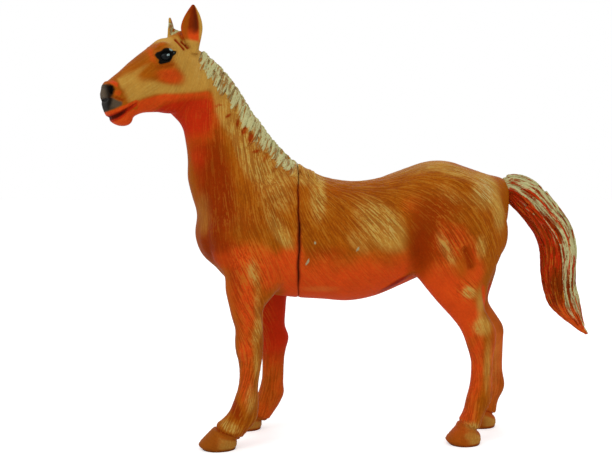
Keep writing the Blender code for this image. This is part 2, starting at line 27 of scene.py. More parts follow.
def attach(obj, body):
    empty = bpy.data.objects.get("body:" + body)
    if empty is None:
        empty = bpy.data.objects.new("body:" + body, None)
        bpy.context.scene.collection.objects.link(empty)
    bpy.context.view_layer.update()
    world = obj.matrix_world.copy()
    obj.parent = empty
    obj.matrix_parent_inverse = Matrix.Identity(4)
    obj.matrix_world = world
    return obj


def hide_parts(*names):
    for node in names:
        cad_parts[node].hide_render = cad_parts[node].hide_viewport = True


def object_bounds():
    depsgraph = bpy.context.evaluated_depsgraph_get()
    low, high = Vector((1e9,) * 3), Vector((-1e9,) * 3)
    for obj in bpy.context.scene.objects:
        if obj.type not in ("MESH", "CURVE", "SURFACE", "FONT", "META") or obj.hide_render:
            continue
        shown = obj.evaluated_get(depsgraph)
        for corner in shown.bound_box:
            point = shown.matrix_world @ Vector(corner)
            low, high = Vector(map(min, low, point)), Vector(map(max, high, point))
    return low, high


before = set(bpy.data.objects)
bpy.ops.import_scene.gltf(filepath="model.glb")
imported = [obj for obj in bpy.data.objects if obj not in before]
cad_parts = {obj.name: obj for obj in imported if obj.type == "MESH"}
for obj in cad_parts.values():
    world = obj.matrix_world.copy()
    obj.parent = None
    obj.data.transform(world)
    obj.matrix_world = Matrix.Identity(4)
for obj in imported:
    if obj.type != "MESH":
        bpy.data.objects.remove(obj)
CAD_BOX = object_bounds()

log = logging.getLogger("toy_horse")

MM = 0.001
FLOOR_CENTRE = (15.15, -1.5, 0.0)  # the middle of the footprint in the sculptor's frame
JOINT_X = -2.9  # the upright joint between the front and rear mouldings
HEAD_PIVOT = (-34.0, -3.0)
HEAD_TURN = math.radians(27)
HEAD_REACH = 12.0  # the head's points lie within this of its middle plane
BODY_TOP = 100.0  # creases of the body stay below this height
EAR_STEPS = 4  # sections made from each station of an ear
EAR_SIDES = 24  # points round each of those sections
SEED = 11

Row = tuple[float, ...]
# Corners on a side view: place along it, and height
Outline = tuple[tuple[float, float], ...]
Place = Callable[[float, float, float], Vector]

# Body stations: lower x, z, upper x, z, middle y, half width, height of the widest place (-1 to 1)
TORSO: tuple[Row, ...] = (
    (-33.0, 63.0, -33.0, 74.0, 0, 5.0, 0.0),
    (-30.0, 57.0, -30.0, 79.0, 0, 9.0, 0.0),
    (-24.5, 51.0, -24.0, 83.5, 0, 12.0, -0.1),
    (-18.0, 48.0, -18.0, 86.5, 0, 13.3, -0.2),
    (-11.0, 46.5, -11.0, 88.8, 0, 13.8, -0.25),
    (-3.0, 45.5, -3.0, 88.2, 0, 14.2, -0.2),
    (5.0, 45.0, 5.0, 84.4, 0, 15.0, -0.1),
    (13.5, 44.4, 13.5, 82.8, 0, 15.8, 0.0),
    (22.0, 46.0, 22.0, 83.5, 0, 16.0, 0.0),
    (30.5, 49.5, 30.5, 86.3, 0, 15.5, 0.05),
    (38.0, 52.8, 38.0, 88.9, 0, 14.8, 0.1),
    (45.0, 55.5, 45.0, 89.2, 0, 14.4, 0.1),
    (52.5, 58.5, 52.5, 86.8, 0, 13.2, 0.1),
    (58.5, 60.5, 58.5, 84.9, 0, 10.6, 0.1),
    (62.5, 64.0, 62.5, 84.0, 0, 6.6, 0.2),
    (65.0, 70.0, 65.0, 82.6, 0, 3.2, 0.2),
)
NECK: tuple[Row, ...] = (
    (-27.1, 54.0, 6.0, 81.0, 0.0, 11.0, 0.0),
    (-33.0, 59.2, 2.5, 83.6, 0.0, 12.0, -0.1),
    (-35.3, 65.6, -0.6, 86.0, 0.0, 11.8, -0.15),
    (-34.7, 72.1, -4.6, 88.0, 0.0, 10.8, -0.2),
    (-36.2, 77.8, -8.6, 92.0, 0.0, 9.6, -0.2),
    (-37.5, 83.5, -13.2, 98.2, -0.6, 8.4, -0.2),
    (-37.4, 89.2, -18.0, 104.7, -1.3, 7.3, -0.15),
    (-38.0, 94.8, -22.7, 112.2, -2.0, 6.5, -0.1),
    (-39.2, 99.9, -28.0, 118.3, -2.8, 6.1, 0.0),
    (-42.9, 104.0, -33.0, 123.2, -3.6, 5.8, 0.1),
)
# Head stations in the head's own straight frame: distance forward of the pivot instead of x
HEAD: tuple[Row, ...] = (
    (3.0, 106.5, -0.5, 123.2, 0, 5.2, 0.1),
    (6.2, 103.9, 3.5, 125.2, 0, 5.9, 0.15),
    (9.6, 103.2, 8.0, 126.0, 0, 6.6, 0.2),
    (13.0, 103.5, 12.4, 126.0, 0, 6.9, 0.3),
    (16.2, 103.3, 15.8, 123.3, 0, 6.2, 0.35),
    (18.8, 102.9, 18.8, 121.0, 0, 5.4, 0.3),
    (21.0, 101.8, 21.9, 118.4, 0, 4.8, 0.2),
    (23.4, 101.0, 25.0, 115.5, 0, 4.5, 0.1),
    (26.2, 101.0, 28.0, 112.9, 0, 4.7, 0.1),
    (28.9, 101.4, 29.9, 111.0, 0, 4.2, 0.1),
    (29.7, 103.6, 30.7, 109.0, 0, 2.8, 0.0),
)
# Leg stations: front x, z, rear x, z, middle y, half width, widest place
NEAR_FORE: tuple[Row, ...] = (
    (-16.3, 82.6, -5.4, 81.1, -7.0, 4.0, 0),
    (-22.4, 74.8, -4.2, 73.3, -8.0, 5.4, 0),
    (-29.2, 66.4, -4.8, 64.6, -8.5, 6.2, 0),
    (-29.3, 59.0, -6.0, 57.1, -8.8, 6.4, 0),
    (-25.8, 53.5, -7.3, 51.6, -9.2, 6.0, 0),
    (-25.5, 49.2, -10.4, 47.3, -9.6, 5.4, 0),
    (-24.5, 44.6, -13.3, 43.9, -9.9, 4.8, 0),
    (-23.6, 40.6, -13.9, 40.6, -10.0, 4.2, 0),
    (-22.5, 36.9, -13.8, 36.9, -10.0, 4.0, 0),
    (-22.6, 33.2, -13.6, 33.2, -10.0, 4.1, 0),
    (-22.4, 30.1, -13.8, 30.1, -10.0, 3.9, 0),
    (-21.6, 27.1, -14.1, 27.0, -10.0, 3.2, 0),
    (-21.2, 23.1, -14.8, 23.0, -10.1, 2.9, 0),
    (-21.5, 19.1, -15.3, 19.0, -10.2, 3.0, 0),
    (-22.6, 15.8, -15.2, 15.7, -10.5, 3.5, 0),
    (-24.0, 12.2, -15.2, 12.1, -10.6, 3.6, 0),
    (-26.0, 9.6, -15.8, 8.8, -10.8, 3.4, 0),
    (-28.4, 7.6, -18.4, 5.6, -10.9, 3.8, 0),
    (-29.4, 5.0, -21.0, 2.6, -11.0, 3.8, 0),
)
FAR_FORE: tuple[Row, ...] = (
    (-15.0, 82.0, -4.5, 80.6, 7.0, 4.0, 0),
    (-21.2, 75.2, -3.5, 73.6, 8.0, 5.4, 0),
    (-28.6, 66.4, -4.2, 64.4, 8.5, 6.2, 0),
    (-28.4, 58.5, -4.8, 56.5, 8.8, 6.4, 0),
    (-25.4, 52.6, -5.5, 50.5, 9.2, 6.0, 0),
    (-21.9, 47.9, -5.6, 46.5, 9.6, 5.4, 0),
    (-19.3, 42.9, -6.0, 42.9, 9.9, 4.8, 0),
    (-17.7, 38.6, -6.3, 38.6, 10.0, 4.2, 0),
    (-16.7, 35.0, -6.4, 34.9, 10.0, 4.0, 0),
    (-15.7, 31.4, -5.1, 31.2, 10.0, 4.1, 0),
    (-14.8, 27.9, -5.9, 27.8, 10.2, 3.9, 0),
    (-14.2, 24.3, -6.6, 24.3, 10.4, 3.2, 0),
    (-14.1, 19.7, -6.8, 19.7, 10.6, 2.9, 0),
    (-14.6, 15.4, -6.9, 15.4, 10.8, 3.1, 0),
    (-15.4, 12.2, -6.7, 12.1, 11.1, 3.5, 0),
    (-17.2, 9.4, -7.9, 9.2, 11.4, 3.5, 0),
    (-19.4, 7.2, -10.1, 5.6, 11.7, 3.6, 0),
    (-22.0, 5.0, -12.2, 2.4, 12.0, 3.8, 0),
)
NEAR_HIND: tuple[Row, ...] = (
    (37.3, 84.4, 58.0, 81.3, -6.0, 6.6, 0),
    (33.9, 74.9, 62.0, 74.9, -7.0, 8.0, 0),
    (32.8, 66.4, 62.7, 67.7, -8.0, 7.7, 0),
    (33.3, 59.2, 61.3, 60.8, -8.6, 7.2, 0),
    (34.4, 53.0, 58.8, 55.1, -9.2, 6.4, 0),
    (38.2, 47.7, 56.8, 50.2, -9.6, 5.6, 0),
    (42.0, 43.3, 55.9, 45.8, -9.8, 4.9, 0),
    (44.8, 40.3, 55.6, 42.7, -9.7, 4.4, 0),
    (47.3, 37.2, 57.4, 39.5, -9.6, 4.0, 0),
    (48.9, 34.3, 59.2, 36.2, -9.5, 4.0, 0),
    (50.2, 30.6, 59.2, 31.8, -9.5, 3.8, 0),
    (51.4, 26.2, 58.4, 26.2, -9.4, 3.2, 0),
    (51.4, 21.3, 58.3, 21.3, -9.4, 3.0, 0),
    (50.8, 17.2, 58.3, 17.5, -9.4, 3.3, 0),
    (49.9, 13.8, 58.0, 13.6, -9.5, 3.7, 0),
    (49.2, 10.2, 56.2, 10.4, -9.5, 3.5, 0),
    (47.7, 7.6, 55.0, 7.4, -9.6, 3.6, 0),
    (46.2, 4.8, 54.2, 4.2, -9.6, 3.8, 0),
)
FAR_HIND: tuple[Row, ...] = (
    (39.5, 84.1, 60.0, 81.0, 6.0, 6.6, 0),
    (37.0, 75.3, 63.5, 74.7, 7.0, 8.0, 0),
    (36.6, 66.4, 64.6, 67.7, 8.0, 7.7, 0),
    (37.4, 58.7, 64.2, 59.0, 8.6, 7.2, 0),
    (39.8, 52.1, 64.2, 53.7, 9.2, 6.4, 0),
    (43.9, 47.0, 63.0, 49.0, 9.6, 5.6, 0),
    (48.6, 42.2, 61.6, 44.0, 9.8, 4.9, 0),
    (52.0, 38.6, 62.3, 41.4, 9.9, 4.4, 0),
    (54.7, 35.6, 64.5, 38.2, 10.0, 4.0, 0),
    (56.7, 32.6, 67.0, 34.0, 10.0, 4.0, 0),
    (57.7, 28.2, 67.0, 29.6, 10.1, 3.8, 0),
    (58.4, 23.9, 66.9, 23.9, 10.2, 3.2, 0),
    (58.8, 19.1, 67.0, 19.1, 10.4, 3.0, 0),
    (58.6, 15.5, 67.8, 15.0, 10.5, 3.4, 0),
    (57.7, 12.1, 67.4, 12.4, 10.6, 3.7, 0),
    (56.7, 9.1, 65.8, 9.4, 10.8, 3.5, 0),
    (55.7, 6.4, 65.2, 6.6, 10.9, 3.6, 0),
    (54.8, 4.4, 65.1, 4.2, 11.0, 3.8, 0),
)
# Hoof stations, sole to coronet: toe x, z, heel x, z, middle y, half width, widest place
HOOF_WALL: tuple[Row, ...] = (
    (1.5, -0.6, 11.0, -0.6, 0, 4.5, -0.1),
    (1.2, 0.2, 11.2, 0.2, 0, 4.7, -0.1),
    (0.0, 1.4, 11.5, 1.0, 0, 4.9, -0.1),
    (1.5, 3.4, 11.6, 1.9, 0, 4.6, -0.1),
    (3.2, 5.2, 11.4, 2.8, 0, 4.3, -0.1),
    (4.5, 6.5, 11.1, 3.5, 0, 4.05, -0.1),
    (5.3, 6.9, 10.6, 4.0, 0, 3.4, -0.1),
)
HOOVES: tuple[tuple[float, float, float], ...] = (
    (-33.9, -11.0, 1.03),
    (-25.8, 12.0, 1.0),
    (43.5, -9.6, 0.96),
    (53.3, 11.0, 1.0),
)
# The coronet's height at the toe, how much it drops for each millimetre back, and where the toe ends
CORONET_HEIGHT = 7.4
CORONET_SLOPE = 0.46
CORONET_TOE = 4.0
RING_TURN = 5.2  # radians of the hoof's growth rings for each millimetre below the coronet
# Tail stations: lower x, z, upper x, z, middle y, half width, widest place
TAIL: tuple[Row, ...] = (
    (63.4, 77.9, 63.8, 83.6, 0, 2.9, 0),
    (65.4, 76.8, 66.2, 84.8, 0, 3.8, 0),
    (67.6, 74.0, 70.9, 84.2, 0, 4.6, 0),
    (70.3, 70.9, 75.9, 81.7, 0, 5.2, 0),
    (73.3, 67.2, 80.9, 75.5, 0, 5.6, 0),
    (75.6, 62.8, 85.9, 68.8, 0, 5.8, 0),
    (76.3, 58.0, 88.2, 61.1, 0, 5.6, 0),
    (76.2, 52.4, 88.2, 54.0, 0, 5.0, 0),
    (77.0, 47.9, 88.5, 48.2, 0, 4.4, 0),
    (78.6, 43.3, 89.9, 43.9, 0, 3.6, 0),
    (81.4, 39.7, 91.0, 40.0, 0, 2.7, 0),
    (85.5, 36.3, 91.9, 36.8, 0, 1.7, 0),
    (88.8, 33.6, 92.5, 34.2, 0, 0.9, 0),
    (91.5, 32.4, 92.7, 32.9, 0, 0.4, 0),
)
# Muscles on both sides: middle x, y, z, half lengths x, y, z, and tilt of the length about Y
MUSCLES: tuple[Row, ...] = (
    (-11.0, 8.0, 72.0, 7.0, 5.9, 12.0, -22),
    (-25.0, 7.0, 66.0, 6.5, 6.0, 7.5, 0),
    (-12.5, 9.2, 60.0, 8.0, 5.4, 7.0, 10),
    (-29.4, 4.2, 66.0, 4.6, 5.0, 7.5, 0),
    (47.0, 7.2, 78.6, 10.0, 6.2, 7.0, 12),
    (57.2, 7.0, 67.0, 6.2, 6.4, 9.5, -4),
    (44.0, 9.4, 67.0, 9.5, 6.6, 11.0, 0),
    (38.0, 9.4, 57.0, 5.4, 4.6, 6.0, 20),
)
SHEATH: Row = (26.5, 0.0, 50.8, 7.0, 2.2, 1.9, -26)
# Swellings of the head on both sides: forward, outward, height, half lengths, tilt
HEAD_SWELLINGS: tuple[Row, ...] = (
    (5.6, 3.0, 113.2, 6.8, 3.5, 7.4, 0),
    (12.2, 4.9, 121.6, 3.6, 2.3, 2.4, 35),
    (12.8, 5.9, 119.8, 1.9, 1.4, 1.6, 0),
    (28.0, 2.6, 109.2, 2.2, 2.0, 2.6, 0),
    (25.2, 0.8, 101.5, 3.8, 2.8, 2.5, 18),
    (7.2, 1.2, 126.0, 3.0, 1.6, 1.7, 0),
    (5.6, 0.8, 127.0, 2.0, 1.4, 2.0, 0),
)
# Ear stations up the ear: along its width, height, half width, half depth
EAR: tuple[Row, ...] = (
    (0.4, 121.5, 1.6, 1.5),
    (0.3, 124.0, 2.1, 1.7),
    (0.1, 126.6, 2.9, 1.9),
    (0.0, 129.2, 3.4, 1.7),
    (0.2, 131.8, 2.9, 1.4),
    (0.4, 134.2, 1.8, 1.0),
    (0.5, 136.4, 0.4, 0.3),
)
# Crest points from poll to withers: x, y, z and the length of the locks that fall there
CREST: tuple[Row, ...] = (
    (-35.0, -3.8, 124.85, 4.5),
    (-31.0, -3.4, 122.05, 7.0),
    (-27.2, -2.8, 118.65, 8.0),
    (-23.2, -2.2, 114.05, 8.6),
    (-19.6, -1.7, 108.45, 9.0),
    (-16.2, -1.2, 103.25, 9.0),
    (-12.6, -0.7, 98.45, 8.6),
    (-8.6, -0.3, 93.85, 8.0),
    (-4.6, 0.0, 89.85, 7.0),
    (-0.4, 0.0, 86.85, 5.0),
    (3.4, 0.0, 85.25, 3.6),
    (6.0, 0.0, 84.45, 2.6),
)


class Side(Enum):
    """A side of the horse, by the sign of Y; the near side is its left."""

    NEAR = -1
    FAR = 1


class Paint(Enum):
    """The airbrushed colours, each a mask named on the skin."""

    OCHRE = "ochre"
    BROWN = "brown"
    RED = "red"
    CRIMSON = "crimson"
    CREAM = "cream"
    GREY = "grey"
    BLACK = "black"
    HOOF = "hoof"
    CHIP = "chip"
    # A painted sheen: pale highlights on the eyelids
    SHEEN = "sheen"


def head_point(forward: float, outward: float, height: float) -> Vector:
    """Turns a point of the head's straight frame with the head.

    Args:
        forward: Distance ahead of the pivot.
        outward: Distance to the horse's left.
        height: Height above the floor.

    Returns:
        The point in the sculptor's frame.
    """
    x = HEAD_PIVOT[0] - forward * math.cos(HEAD_TURN) + outward * math.sin(HEAD_TURN)
    y = HEAD_PIVOT[1] - forward * math.sin(HEAD_TURN) - outward * math.cos(HEAD_TURN)
    return Vector((x, y, height))


def head_frame(points: np.ndarray) -> np.ndarray:
    """Gives points, or directions when the pivot is first added, as forward, outward and height.

    Args:
        points: Rows of x, y, z in the sculptor's frame.

    Returns:
        Rows of forward, outward and height.
    """
    dx, dy = points[:, 0] - HEAD_PIVOT[0], points[:, 1] - HEAD_PIVOT[1]
    cosine, sine = math.cos(HEAD_TURN), math.sin(HEAD_TURN)
    return np.stack([-dx * cosine - dy * sine, dx * sine - dy * cosine, points[:, 2]], axis=1)


def smooth_step(low: float, high: float, values: np.ndarray) -> np.ndarray:
    """A soft step from 0 at low to 1 at high."""
    share = np.clip((values - low) / (high - low), 0.0, 1.0)
    return share * share * (3 - 2 * share)


def smoothed(rows: Sequence[Row], steps: int) -> list[Row]:
    """Adds stations on a smooth curve through each column.

    Args:
        rows: The stations.
        steps: Stations made from each one, itself included.

    Returns:
        The finer stations.
    """
    finer: list[Row] = []
    last = len(rows) - 1
    for index in range(last):
        four = [rows[max(index - 1, 0)], rows[index], rows[index + 1], rows[min(index + 2, last)]]
        before, start, end, after = (np.array(row, float) for row in four)
        for step in range(steps):
            t = step / steps
            curve = 2 * start + (end - before) * t + (2 * before - 5 * start + 4 * end - after) * t**2
            finer.append(tuple(0.5 * (curve + (3 * start - before - 3 * end + after) * t**3)))
    finer.append(tuple(float(value) for value in rows[-1]))
    return finer


def body_ring(station: Row, angles: Iterable[float], place: Place | None = None) -> list[Vector]:
    """A body section: an oval between two edge points, its widest place set by the station.

    Args:
        station: A body, leg, head or tail station.
        angles: Places round the oval, in radians.
        place: Turns forward, outward and height into a point, for the head.

    Returns:
        The points of the section.
    """
    low_x, low_z, high_x, high_z, middle, half_width, widest = station
    ring = []
    for angle in angles:
        rise = math.sin(angle)
        share = 0.5 + 0.5 * (widest + rise * (1 - widest if rise > 0 else 1 + widest))
        across = half_width * math.copysign(abs(math.cos(angle)) ** 0.9, math.cos(angle))
        x, z = low_x + (high_x - low_x) * share, low_z + (high_z - low_z) * share
        ring.append(place(x, middle - across, z) if place else Vector((x, middle + across, z)))
    return ring


def mesh_of(form: bmesh.types.BMesh, name: str) -> bpy.types.Mesh:
    """A new mesh made from a form, which is freed."""
    mesh = bpy.data.meshes.new(name)
    form.to_mesh(mesh)
    form.free()
    return mesh


def linked(name: str, data: bpy.types.ID) -> bpy.types.Object:
    """A new object in the scene that shows the data."""
    shown = bpy.data.objects.new(name, data)
    bpy.context.scene.collection.objects.link(shown)
    return shown


def mesh_points(mesh: bpy.types.Mesh) -> np.ndarray:
    """The places of a mesh's points, as rows."""
    flat = np.empty(len(mesh.vertices) * 3, np.float32)
    mesh.vertices.foreach_get("co", flat)
    return flat.reshape(-1, 3).astype(np.float64)


def set_points(mesh: bpy.types.Mesh, points: np.ndarray) -> None:
    """Moves a mesh's points to other places."""
    mesh.vertices.foreach_set("co", points.astype(np.float32).ravel())


def set_mask(mesh: bpy.types.Mesh, name: str, values: np.ndarray) -> None:
    """Writes one number for each point as an attribute."""
    attribute = mesh.attributes.new(name, "FLOAT", "POINT")
    attribute.data.foreach_set("value", values.astype(np.float32))


class Clay:
    """Lofts and balls pressed together before they are melted into one skin."""

    def __init__(self) -> None:
        """Starts with no clay."""
        self.form = bmesh.new()

    def loft(self, rings: Sequence[Sequence[Vector]]) -> None:
        """Joins rings of equal count into one closed skin with flat ends."""
        loops = [[self.form.verts.new(point) for point in ring] for ring in rings]
        sides = len(loops[0])
        for lower, upper in zip(loops, loops[1:]):
            for side in range(sides):
                after = (side + 1) % sides
                self.form.faces.new((lower[side], lower[after], upper[after], upper[side]))
        self.form.faces.new(reversed(loops[0]))
        self.form.faces.new(loops[-1])

    def body(self, rows: Sequence[Row], sides: int = 40, steps: int = 5, place: Place | None = None) -> None:
        """Lofts a skin through stations.

        Args:
            rows: The stations.
            sides: Points round each section.
            steps: Sections made from each station.
            place: Turns head coordinates into a point, for the head.
        """
        angles = [math.tau * side / sides for side in range(sides)]
        self.loft([body_ring(row, angles, place) for row in smoothed(rows, steps)])

    def ball(self, centre: Sequence[float], halves: Sequence[float], tilt: float = 0, turn: float = 0) -> None:
        """Presses on an ellipsoid.

        Args:
            centre: Its middle.
            halves: Its half lengths along x, y and z.
            tilt: Turn about Y in degrees.
            turn: Turn about Z in radians.
        """
        matrix = Matrix.Translation(Vector(centre)) @ Matrix.Rotation(turn, 4, "Z")
        matrix = matrix @ Matrix.Rotation(math.radians(tilt), 4, "Y") @ Matrix.Diagonal((*halves, 1.0))
        ball = bmesh.new()
        bmesh.ops.create_uvsphere(ball, u_segments=28, v_segments=16, radius=1.0, matrix=matrix)
        self.add(mesh_of(ball, "ball"))

    def add(self, mesh: bpy.types.Mesh) -> None:
        """Takes in a closed mesh and frees it."""
        self.form.from_mesh(mesh)
        bpy.data.meshes.remove(mesh)

    def melt(self, voxel: float, softening: int) -> bpy.types.Mesh:
        """Melts all the clay into one even skin and frees it.

        Args:
            voxel: Grain of the skin.
            softening: Rounds of smoothing.

        Returns:
            The skin, in millimetres.
        """
        bmesh.ops.recalc_face_normals(self.form, faces=self.form.faces[:])
        clay = linked("clay", mesh_of(self.form, "clay"))
        remesh = clay.modifiers.new("melt", "REMESH")
        remesh.mode = "VOXEL"
        remesh.voxel_size = voxel
        soften = clay.modifiers.new("soften", "SMOOTH")
        soften.factor = 0.5
        soften.iterations = softening
        return take_mesh(clay)


def take_mesh(source: bpy.types.Object) -> bpy.types.Mesh:
    """The object's evaluated mesh; the object and its own data are removed."""
    graph = bpy.context.evaluated_depsgraph_get()
    made = source.evaluated_get(graph)
    mesh = bpy.data.meshes.new_from_object(made, preserve_all_data_layers=True, depsgraph=graph)
    data = source.data
    bpy.data.objects.remove(source)
    if isinstance(data, bpy.types.Mesh):
        bpy.data.meshes.remove(data)
    else:
        bpy.data.curves.remove(data)
    return mesh


class Wire:
    """A node's output socket that takes part in Python arithmetic."""

    def __init__(self, shop: "NodeShop", socket: bpy.types.NodeSocket) -> None:
        """Holds the socket and the shop that adds its nodes."""
        self.shop = shop
        self.socket = socket

    def _maths(self, operation: str, *values: object) -> "Wire":
        """Adds one Math node.

        Args:
            operation: The node's operation.
            values: Wires or numbers for its inputs.

        Returns:
            The result.
        """
        return self.shop.add("ShaderNodeMath", {"operation": operation}, dict(enumerate(values)))

    def __add__(self, other: object) -> "Wire":
        """Sum."""
        return self._maths("ADD", self, other)

    def __sub__(self, other: object) -> "Wire":
        """Difference."""
        return self._maths("SUBTRACT", self, other)

    def __rsub__(self, other: object) -> "Wire":
        """Reflected difference."""
        return self._maths("SUBTRACT", other, self)

    def __mul__(self, other: object) -> "Wire":
        """Product."""
        return self._maths("MULTIPLY", self, other)

    def __pow__(self, other: object) -> "Wire":
        """Power."""
        return self._maths("POWER", self, other)

    __radd__ = __add__

    def step(self, low: float, high: float) -> "Wire":
        """A soft step from 0 at low to 1 at high."""
        settings = {"interpolation_type": "SMOOTHSTEP"}
        inputs = {"Value": self, "From Min": low, "From Max": high}
        return self.shop.add("ShaderNodeMapRange", settings, inputs)


class NodeShop:
    """Makes the nodes of one tree."""

    def __init__(self, tree: bpy.types.NodeTree) -> None:
        """Works on an existing tree."""
        self.tree = tree

    def add(
        self, kind: str, settings: dict[str, object], inputs: dict[object, object], output: object = 0
    ) -> Wire:
        """Adds a node.

        Args:
            kind: The node's type.
            settings: Its properties, such as an operation.
            inputs: Values or wires by the socket's name or number.
            output: The socket returned, by name or number.

        Returns:
            The output as a wire.
        """
        node = self.tree.nodes.new(kind)
        for name, value in settings.items():
            setattr(node, name, value)
        for name, value in inputs.items():
            if isinstance(value, Wire):
                self.join(value, node.inputs[name])
            else:
                node.inputs[name].default_value = value
        return Wire(self, node.outputs[output])

    def join(self, wire: Wire, socket: bpy.types.NodeSocket) -> None:
        """Leads a wire to a socket."""
        self.tree.links.new(wire.socket, socket)

    def mix(self, share: object, first: object, second: object) -> Wire:
        """Mixes two colours by a wire or number."""
        colours = [(*c, 1.0) if isinstance(c, tuple) else c for c in (first, second)]
        inputs = {0: share, 6: colours[0], 7: colours[1]}
        return self.add("ShaderNodeMix", {"data_type": "RGBA"}, inputs, 2)

    def mask(self, name: str) -> Wire:
        """A mask stored on the skin."""
        return self.add("ShaderNodeAttribute", {"attribute_name": name}, {}, "Fac")

    def noise(self, place: Wire, scale: float, detail: float = 2.0) -> Wire:
        """Noise on object coordinates, scaled per metre."""
        return self.add("ShaderNodeTexNoise", {}, {"Vector": place, "Scale": scale, "Detail": detail})


def new_material(name: str) -> tuple[bpy.types.Material, NodeShop, bpy.types.Node]:
    """A new node material, the shop for its nodes, and its shader."""
    material = bpy.data.materials.new(name)
    material.use_nodes = True
    return material, NodeShop(material.node_tree), material.node_tree.nodes["Principled BSDF"]


Colour = tuple[float, float, float]


